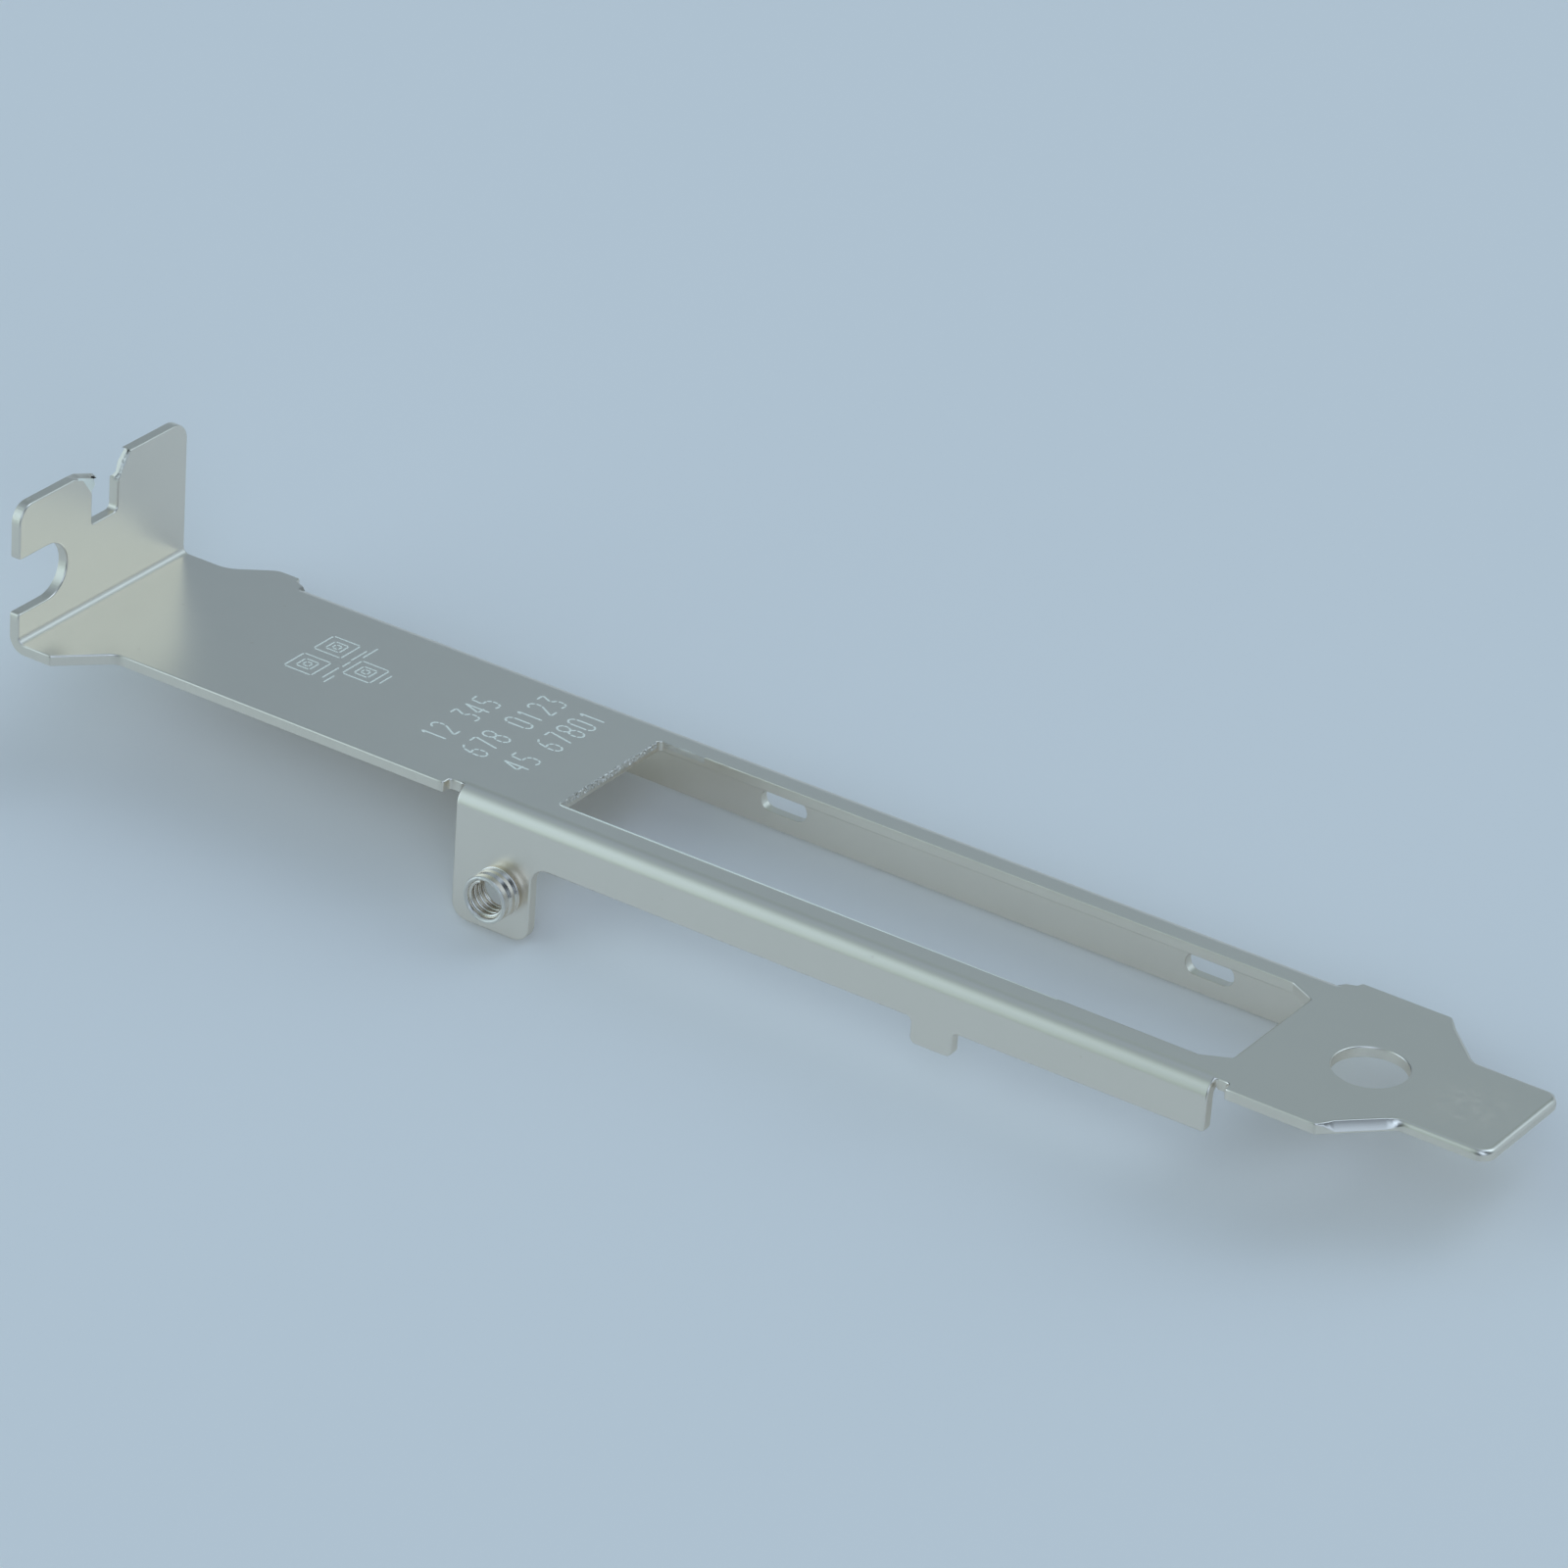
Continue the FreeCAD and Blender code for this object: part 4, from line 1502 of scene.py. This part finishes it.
@dataclass
class Boss:
    """The drawn boss on the ear, with its ringed outside and its thread."""

    sizes: SheetSizes
    pose: RestPose
    radius: float = 1.84
    height: float = 1.8
    bore: float = 1.42
    root: float = 0.12
    entry: float = 0.62
    groove: float = 0.18
    groove_pitch: float = 0.75
    groove_top: float = 1.1
    groove_front: float = 0.3
    groove_back: float = 0.1
    groove_steps: int = 72
    crest: float = 1.68
    mouth: float = 0.5
    lip: float = 0.22
    bore_top: float = 0.4
    seat_run: float = 0.1
    skin: float = 0.004
    sunk: float = 0.2
    arc_steps: int = 8
    lip_steps: int = 6
    rim_rise: float = 0.03
    chip: float = 0.02
    crease: float = 60.0
    thread_sink: float = 0.03
    thread_bead: float = 0.17
    thread_start: float = -0.35
    thread_turns: float = 3.7
    around: int = 96
    pieces: list[bpy.types.Object] = field(default_factory=list)

    def build(self, finish: bpy.types.Material, torn: bpy.types.Material) -> list[bpy.types.Object]:
        """Make the boss's shell and its thread.

        Args:
            finish: Finish of the turned faces.
            torn: Finish of the ragged rim.

        Returns:
            The pieces.
        """
        s = self.sizes
        seat = Matrix.Translation((s.boss_x, -s.half, -s.boss_depth))
        turn = self.pose.matrix @ seat @ Matrix.Rotation(math.pi / 2.0, 4, "X")
        self.pieces.append(self._shell(turn, finish, torn))
        radius = self.bore - self.thread_sink
        thread = Helix("boss_thread", radius, self.thread_bead, self.thread_start, self.thread_turns)
        self.pieces.append(thread.build(winding_tree(), finish, turn))
        return self.pieces

    def dress(self) -> None:
        """Put the boss in the frame."""
        for piece in self.pieces:
            settle(piece)

    def _cut(self, high: float) -> float:
        """How deep the outside is grooved at a height above the ear.

        Args:
            high: The height.

        Returns:
            The depth of the groove.
        """
        past = (high - self.groove_top) % self.groove_pitch
        back = 1.0 - past / self.groove_back
        front = 1.0 - (self.groove_pitch - past) / self.groove_front
        return self.groove * max(back, front, 0.0)

    def _profile(self) -> list[Point]:
        """The shell's section as distance from the axis and height above the ear's outer face.

        Returns:
            The section's points in order.
        """
        inner, crest, base = -self.sizes.thickness, self.crest, self.height - self.lip
        seat = self.bore + self.entry + self.seat_run
        out = [(seat, inner + self.skin)]
        for sine, cosine in quarter(self.arc_steps):
            out.append((self.bore + self.entry * (1.0 - sine), inner + self.entry * (1.0 - cosine)))
        out.append((self.bore, self.bore_top))
        for sine, cosine in quarter(self.arc_steps):
            out.append((crest - (crest - self.bore) * cosine, self.height - self.mouth * (1.0 - sine)))
        for sine, cosine in quarter(self.lip_steps, 1):
            out.append((crest + (self.radius - crest) * sine, self.height - self.lip * (1.0 - cosine)))
        for k in range(1, self.groove_steps + 1):
            high = base - (base - self.root) * k / self.groove_steps
            out.append((self.radius - self._cut(high), high))
        start = out[-1][0]
        for sine, cosine in quarter(self.lip_steps, 1):
            out.append((start + self.root * (1.0 - cosine), self.root * (1.0 - sine) - self.skin))
        return [*out, (start + self.root, -self.sunk), (seat, inner + self.sunk)]

    def _shell(
        self, turn: Matrix, finish: bpy.types.Material, torn: bpy.types.Material
    ) -> bpy.types.Object:
        """The turned shell of the boss.

        Args:
            turn: From the boss's own frame to the row frame.
            finish: Finish of the turned faces.
            torn: Finish of the ragged rim.

        Returns:
            The shell's object.
        """
        rng = np.random.default_rng(SEED)
        profile = self._profile()
        count = len(profile)
        rim = [i for i, (_, z) in enumerate(profile) if z > self.height - self.lip + self.rim_rise]
        verts: list[Triple] = []
        for k in range(self.around):
            angle = 2.0 * math.pi * k / self.around
            for i, (r, z) in enumerate(profile):
                chip = abs(rng.normal(0.0, self.chip)) if i in rim else 0.0
                verts.append((r * math.cos(angle), r * math.sin(angle), z - chip))
        faces, parts = [], []
        for k in range(self.around):
            here, after = k * count, (k + 1) % self.around * count
            for i in range(count):
                j = (i + 1) % count
                faces.append((here + i, here + j, after + j, after + i))
                parts.append(1 if i in rim and j in rim else 0)
        mesh = bpy.data.meshes.new("boss_shell")
        mesh.from_pydata(verts, [], faces)
        mesh.transform(turn)
        mesh.polygons.foreach_set("use_smooth", [part == 0 for part in parts])
        mesh.polygons.foreach_set("material_index", parts)
        mesh.set_sharp_from_angle(angle=math.radians(self.crease))
        mesh.materials.append(finish)
        mesh.materials.append(torn)
        mesh.update()
        piece = stand("boss_shell", mesh)
        LOG.info("boss_shell: %d faces", len(mesh.polygons))
        return piece


# Finishes


def colour(value: Triple) -> tuple[float, ...]:
    """A colour with full alpha."""
    return (*value, 1.0)


def math_node(nodes: Nodes, operation: str, kind: str = "Math") -> bpy.types.Node:
    """A new math or vector math node that does one operation.

    Args:
        nodes: The nodes it joins.
        operation: What it does.
        kind: Math for numbers or VectorMath for vectors.

    Returns:
        The node.
    """
    made = nodes.new(f"ShaderNode{kind}")
    made.operation = operation
    return made


def ranged(nodes: Nodes, low: float, high: float) -> bpy.types.Node:
    """A new node that is zero at the low value and one at the high one.

    Args:
        nodes: The nodes it joins.
        low: The value that gives zero.
        high: The value that gives one.

    Returns:
        The node.
    """
    made = nodes.new("ShaderNodeMapRange")
    made.inputs["From Min"].default_value = low
    made.inputs["From Max"].default_value = high
    return made


def noise(nodes: Nodes, scale: float, detail: float) -> bpy.types.Node:
    """A new noise texture of one size.

    Args:
        nodes: The nodes it joins.
        scale: How fine it is.
        detail: How many finer layers it has.

    Returns:
        The node.
    """
    made = nodes.new("ShaderNodeTexNoise")
    made.inputs["Scale"].default_value = scale
    made.inputs["Detail"].default_value = detail
    return made


@dataclass(frozen=True)
class SatinGrain:
    """Shared effect of the plating: soft patches of tone, a fine grain and a few dull specks."""

    name: str = "satin_grain"
    patch: Pair = (260.0, 3.0)
    grain: Pair = (5200.0, 2.0)
    speck_scale: float = 520.0
    speck_range: Pair = (0.085, 0.045)
    speck_rare: float = 0.86
    speck_dull: float = 0.3
    worn_at: Triple = (0.0558, 0.0013, 0.0074)
    worn_radius: float = 0.0045
    worn_core: float = 0.3
    worn_noise: Pair = (1500.0, 5.0)
    worn_range: Pair = (0.36, 0.66)
    fold_rub: float = 0.1

    def build(self) -> bpy.types.NodeTree:
        """The shader node group.

        Returns:
            The group.
        """
        tree = bpy.data.node_groups.new(self.name, "ShaderNodeTree")
        self._sockets(tree.interface)
        nodes, links = tree.nodes, tree.links
        source, out = nodes.new("NodeGroupInput"), nodes.new("NodeGroupOutput")
        place = nodes.new("ShaderNodeTexCoord").outputs["Object"]
        patch, grain = noise(nodes, *self.patch), noise(nodes, *self.grain)
        for texture in (patch, grain):
            links.new(place, texture.inputs["Vector"])
        tone = nodes.new("ShaderNodeMix")
        tone.data_type = "RGBA"
        links.new(patch.outputs["Fac"], tone.inputs["Factor"])
        for sock in tone.inputs:
            if sock.type == "RGBA" and sock.name in ("A", "B"):
                links.new(source.outputs[f"Tone {sock.name}"], sock)
        sheen = nodes.new("ShaderNodeMapRange")
        links.new(grain.outputs["Fac"], sheen.inputs["Value"])
        links.new(source.outputs["Sheen Low"], sheen.inputs["To Min"])
        links.new(source.outputs["Sheen High"], sheen.inputs["To Max"])
        fold = nodes.new("ShaderNodeAttribute")
        fold.attribute_name = "fold"
        dull, rub, stretched = (math_node(nodes, "MULTIPLY_ADD") for _ in range(3))
        dull.inputs[1].default_value = self.speck_dull
        links.new(source.outputs["Worn"], rub.inputs[1])
        stretched.inputs[1].default_value = self.fold_rub
        rough = sheen.outputs["Result"]
        for node, extra in (
            (dull, self._specks(nodes, links, place)),
            (rub, self._worn(nodes, links, place)),
            (stretched, fold.outputs["Fac"]),
        ):
            links.new(extra, node.inputs[0])
            links.new(rough, node.inputs[2])
            rough = node.outputs[0]
        links.new(next(sock for sock in tone.outputs if sock.type == "RGBA"), out.inputs["Tone"])
        links.new(rough, out.inputs["Sheen"])
        links.new(grain.outputs["Fac"], out.inputs["Height"])
        return tree

    def _sockets(self, face: bpy.types.NodeTreeInterface) -> None:
        """The group's inputs and outputs.

        Args:
            face: The group's list of sockets.
        """
        for name, way, kind in (
            ("Tone A", "INPUT", "NodeSocketColor"),
            ("Tone B", "INPUT", "NodeSocketColor"),
            ("Sheen Low", "INPUT", "NodeSocketFloat"),
            ("Sheen High", "INPUT", "NodeSocketFloat"),
            ("Worn", "INPUT", "NodeSocketFloat"),
            ("Tone", "OUTPUT", "NodeSocketColor"),
            ("Sheen", "OUTPUT", "NodeSocketFloat"),
            ("Height", "OUTPUT", "NodeSocketFloat"),
        ):
            face.new_socket(name, in_out=way, socket_type=kind)

    def _specks(self, nodes: Nodes, links: Links, place: Socket) -> Socket:
        """A few small specks.

        Args:
            nodes: The group's nodes.
            links: The group's links.
            place: The place on the surface.

        Returns:
            How much of a speck lies there.
        """
        specks = nodes.new("ShaderNodeTexVoronoi")
        specks.inputs["Scale"].default_value = self.speck_scale
        speck = ranged(nodes, *self.speck_range)
        rare = nodes.new("ShaderNodeSeparateColor")
        seldom, both = math_node(nodes, "GREATER_THAN"), math_node(nodes, "MULTIPLY")
        seldom.inputs[1].default_value = self.speck_rare
        links.new(place, specks.inputs["Vector"])
        links.new(specks.outputs["Distance"], speck.inputs["Value"])
        links.new(specks.outputs["Color"], rare.inputs["Color"])
        links.new(rare.outputs[0], seldom.inputs[0])
        links.new(speck.outputs["Result"], both.inputs[0])
        links.new(seldom.outputs[0], both.inputs[1])
        return both.outputs[0]

    def _worn(self, nodes: Nodes, links: Links, place: Socket) -> Socket:
        """A rubbed patch on the tongue.

        Args:
            nodes: The group's nodes.
            links: The group's links.
            place: The place on the surface.

        Returns:
            How worn the surface is there.
        """
        away = math_node(nodes, "DISTANCE", "VectorMath")
        away.inputs[1].default_value = self.worn_at
        near = ranged(nodes, self.worn_radius, self.worn_radius * self.worn_core)
        rub = noise(nodes, *self.worn_noise)
        rough = ranged(nodes, *self.worn_range)
        both = math_node(nodes, "MULTIPLY")
        links.new(place, away.inputs[0])
        links.new(place, rub.inputs["Vector"])
        links.new(away.outputs["Value"], near.inputs["Value"])
        links.new(rub.outputs["Fac"], rough.inputs["Value"])
        links.new(near.outputs["Result"], both.inputs[0])
        links.new(rough.outputs["Result"], both.inputs[1])
        return both.outputs[0]


@dataclass(frozen=True)
class Plating:
    """A nickel finish on one kind of surface, with the depth of its grain and drag marks in metres."""

    name: str
    tone_a: Triple
    tone_b: Triple
    sheen_low: float
    sheen_high: float
    grain: float
    streaks: float = 0.0
    metal: float = 1.0
    worn: float = 0.0
    grain_depth: float = 0.00002
    drag_depth: float = 0.00005
    drag_stretch: Triple = (9.0, 0.8, 1.0)
    drag_noise: Pair = (1.0, 3.0)

    def build(self, effect: bpy.types.NodeTree) -> bpy.types.Material:
        """Make the material.

        Args:
            effect: The shared plating effect.

        Returns:
            The material.
        """
        made = bpy.data.materials.new(self.name)
        made.use_nodes = True
        nodes, links = made.node_tree.nodes, made.node_tree.links
        shader = next(n for n in nodes if n.type == "BSDF_PRINCIPLED")
        shader.inputs["Metallic"].default_value = self.metal
        grain = nodes.new("ShaderNodeGroup")
        grain.node_tree = effect
        for name, value in (
            ("Tone A", colour(self.tone_a)),
            ("Tone B", colour(self.tone_b)),
            ("Sheen Low", self.sheen_low),
            ("Sheen High", self.sheen_high),
            ("Worn", self.worn),
        ):
            grain.inputs[name].default_value = value
        bump = self._bump(nodes, self.grain, self.grain_depth)
        links.new(grain.outputs["Tone"], shader.inputs["Base Color"])
        links.new(grain.outputs["Sheen"], shader.inputs["Roughness"])
        links.new(grain.outputs["Height"], bump.inputs["Height"])
        links.new(bump.outputs["Normal"], shader.inputs["Normal"])
        if self.streaks > 0.0:
            self._streak(nodes, links, bump, shader)
        return made

    def _bump(self, nodes: Nodes, strength: float, depth: float) -> bpy.types.Node:
        """A new bump node.

        Args:
            nodes: The nodes it joins.
            strength: How strong it is.
            depth: Its depth in metres.

        Returns:
            The node.
        """
        made = nodes.new("ShaderNodeBump")
        made.inputs["Strength"].default_value = strength
        made.inputs["Distance"].default_value = depth
        return made

    def _streak(self, nodes: Nodes, links: Links, bump: bpy.types.Node, shader: bpy.types.Node) -> None:
        """Drag marks through the thickness of a blanked edge.

        Args:
            nodes: The material's nodes.
            links: The material's links.
            bump: The bump node they add to.
            shader: The surface shader.
        """
        trace = nodes.new("ShaderNodeAttribute")
        trace.attribute_name = "trace"
        stretch = nodes.new("ShaderNodeMapping")
        stretch.inputs["Scale"].default_value = self.drag_stretch
        drag = noise(nodes, *self.drag_noise)
        more = self._bump(nodes, self.streaks, self.drag_depth)
        links.new(trace.outputs["Vector"], stretch.inputs["Vector"])
        links.new(stretch.outputs["Vector"], drag.inputs["Vector"])
        links.new(drag.outputs["Fac"], more.inputs["Height"])
        links.new(bump.outputs["Normal"], more.inputs["Normal"])
        links.new(more.outputs["Normal"], shader.inputs["Normal"])


FACE = Plating(
    "satin_nickel",
    tone_a=(0.845, 0.78, 0.68),
    tone_b=(0.82, 0.758, 0.66),
    sheen_low=0.27,
    sheen_high=0.31,
    grain=0.04,
    worn=0.32,
)
EDGE = Plating(
    "blanked_nickel",
    tone_a=(0.85, 0.79, 0.68),
    tone_b=(0.78, 0.72, 0.62),
    sheen_low=0.27,
    sheen_high=0.38,
    grain=0.1,
    streaks=0.3,
)
# Painted highlight: a near-white, non-metal stand-in for the light that struck grooves, the beaten facet
# and the burr catch, not the plating's own colour
MARK = Plating(
    "struck_nickel_painted_highlight",
    tone_a=(1.0, 1.0, 0.87),
    tone_b=(0.97, 0.96, 0.83),
    sheen_low=0.42,
    sheen_high=0.52,
    grain=0.1,
    metal=0.0,
)
TORN = Plating(
    "torn_nickel",
    tone_a=(0.9, 0.86, 0.78),
    tone_b=(0.66, 0.62, 0.55),
    sheen_low=0.42,
    sheen_high=0.58,
    grain=0.9,
)
THREAD = Plating(
    "cut_nickel",
    tone_a=(0.82, 0.76, 0.67),
    tone_b=(0.74, 0.68, 0.59),
    sheen_low=0.2,
    sheen_high=0.27,
    grain=0.05,
)


# Studio


class Tint(Enum):
    """Tints of the soft light."""

    DAY = (0.77, 1.0, 1.18)
    SKY = (0.78, 1.0, 1.31)
    PALE = (0.76, 1.0, 0.95)


@dataclass(frozen=True)
class SoftPatch:
    """A soft patch of the surroundings.

    Its turn is measured in degrees from straight behind the bracket towards the right, and its height in
    degrees above the floor.
    """

    turn: float
    height: float
    strength: float = 1.0
    tint: Tint = Tint.DAY
    narrow: float = 14.2

    @property
    def light(self) -> tuple[float, ...]:
        """The light at the patch's middle."""
        return tuple(self.strength * part for part in self.tint.value)

    def build(self, nodes: Nodes, links: Links, sight: Socket) -> Socket:
        """How strongly the patch is seen in a direction.

        Args:
            nodes: The surroundings' nodes.
            links: The surroundings' links.
            sight: The direction looked in.

        Returns:
            One at the patch's middle, falling softly to zero around it.
        """
        turn, height = math.radians(self.turn), math.radians(self.height)
        dot = math_node(nodes, "DOT_PRODUCT", "VectorMath")
        dot.inputs[1].default_value = (
            math.sin(turn) * math.cos(height),
            math.cos(turn) * math.cos(height),
            math.sin(height),
        )
        away = math_node(nodes, "MULTIPLY_ADD")
        away.inputs[1].default_value = self.narrow
        away.inputs[2].default_value = -self.narrow
        fall = math_node(nodes, "EXPONENT")
        links.new(sight, dot.inputs[0])
        links.new(dot.outputs["Value"], away.inputs[0])
        links.new(away.outputs[0], fall.inputs[0])
        return fall.outputs[0]


@dataclass(frozen=True)
class Studio:
    """Floor, soft surroundings and camera."""

    floor_tone: Triple = (0.93, 0.905, 0.87)
    floor_rough: float = 0.85
    floor_half: float = 3.0
    gap: float = 0.00025
    patches: tuple[SoftPatch, ...] = (
        SoftPatch(30, 8, 0.52),
        SoftPatch(210, 8, 0.4, Tint.PALE),
        SoftPatch(240, 8, 1.33),
        SoftPatch(330, 8, 0.31, Tint.SKY),
        SoftPatch(45, 32, 1.2),
        SoftPatch(126, 29, 1.27, Tint.SKY),
        SoftPatch(225, 32, 0.45),
        SoftPatch(255, 32, 0.76, Tint.SKY),
        SoftPatch(345, 32, 0.3, Tint.PALE),
        SoftPatch(45, 56, 1.43, Tint.SKY),
        SoftPatch(135, 56, 1.14, Tint.SKY),
        SoftPatch(225, 56, 0.33, Tint.PALE),
        SoftPatch(270, 56, 0.15, Tint.PALE),
        SoftPatch(315, 56, 0.34, Tint.SKY),
    )
    dark: SoftPatch = SoftPatch(88, 48, narrow=18.0)
    spin: Triple = (1.97896, 0.65011, -0.29966)
    shift: Triple = (-49.413, -15.112, 577.13)
    focal: float = 4.966
    sensor: float = 36.0
    clip: Pair = (0.01, 50.0)

    def build(self, pose: RestPose) -> None:
        """Set up the studio.

        Args:
            pose: The bracket's rest pose.
        """
        bpy.context.scene.view_settings.view_transform = "Standard"
        self._floor()
        self._surroundings()
        self._camera(pose)

    def _surroundings(self) -> None:
        """Soft patches of light all round, less one dark corner."""
        world = bpy.data.worlds.new("studio_air")
        bpy.context.scene.world = world
        world.use_nodes = True
        nodes, links = world.node_tree.nodes, world.node_tree.links
        air = next(n for n in nodes if n.type == "BACKGROUND")
        place = nodes.new("ShaderNodeTexCoord")
        level = math_node(nodes, "NORMALIZE", "VectorMath")
        links.new(place.outputs["Generated"], level.inputs[0])
        sight = level.outputs["Vector"]
        total = None
        for patch in self.patches:
            glow = math_node(nodes, "SCALE", "VectorMath")
            glow.inputs[0].default_value = patch.light
            links.new(patch.build(nodes, links, sight), glow.inputs["Scale"])
            if total is None:
                total = glow.outputs["Vector"]
                continue
            add = math_node(nodes, "ADD", "VectorMath")
            links.new(total, add.inputs[0])
            links.new(glow.outputs["Vector"], add.inputs[1])
            total = add.outputs["Vector"]
        shade, deep = math_node(nodes, "SUBTRACT"), math_node(nodes, "MULTIPLY")
        shade.inputs[0].default_value = 1.0
        links.new(self.dark.build(nodes, links, sight), shade.inputs[1])
        for side in deep.inputs[:2]:
            links.new(shade.outputs[0], side)
        dimmed = math_node(nodes, "SCALE", "VectorMath")
        links.new(total, dimmed.inputs[0])
        links.new(deep.outputs[0], dimmed.inputs["Scale"])
        links.new(dimmed.outputs["Vector"], air.inputs["Color"])

    def _floor(self) -> None:
        """A plain pale floor."""
        corners = [(x * self.floor_half, y * self.floor_half, -self.gap) for x, y in SQUARE]
        mesh = bpy.data.meshes.new("floor")
        mesh.from_pydata(corners, [], [(0, 1, 2, 3)])
        paper = bpy.data.materials.new("pale_paper")
        paper.use_nodes = True
        shader = next(n for n in paper.node_tree.nodes if n.type == "BSDF_PRINCIPLED")
        shader.inputs["Base Color"].default_value = colour(self.floor_tone)
        shader.inputs["Roughness"].default_value = self.floor_rough
        mesh.materials.append(paper)
        floor = stand("floor", mesh)

    def _camera(self, pose: RestPose) -> None:
        """Stand the camera where the photograph was taken from.

        Args:
            pose: The bracket's rest pose.
        """
        angle = Vector(self.spin).length
        turn = Matrix.Rotation(angle, 3, Vector(self.spin).normalized())
        right, down, ahead = turn.row[0], turn.row[1], turn.row[2]
        centre = -(turn.transposed() @ Vector(self.shift))
        axes = Matrix((right, -down, -ahead)).transposed()
        lie = (pose.matrix.to_3x3() * (1.0 / MM)) @ axes
        spot = lie.to_4x4()
        spot.translation = pose.matrix @ centre
        data = bpy.data.cameras.new("camera")
        data.sensor_width = self.sensor
        data.lens = self.sensor * self.focal
        data.clip_start, data.clip_end = self.clip
        camera = stand("camera", data)
        camera.matrix_world = spot
        bpy.context.scene.camera = camera


def main() -> None:
    """Build the bracket, dress it and set up the studio."""
    logging.basicConfig(level=logging.INFO, format="%(message)s")
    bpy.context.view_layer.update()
    sizes = SheetSizes()
    pose = RestPose.from_record(frame["record"], sizes)
    effect = SatinGrain().build()
    finishes = [finish.build(effect) for finish in (FACE, EDGE, MARK, TORN)]
    (high, upper), (low, lower) = sizes.beaten_top, sizes.beaten_foot
    corner = StruckCorner((sizes.tab_u(high), upper), (sizes.tab_u(low), lower))
    sheet = Sheet(sizes, EdgeSizes(), pose, Marks(), corner)
    sheet.dress(sheet.build(), finishes)
    boss = Boss(sizes, pose)
    boss.build(THREAD.build(effect), finishes[Part.TORN])
    boss.dress()
    Studio().build(pose)


if __name__ == "__main__":
    main()
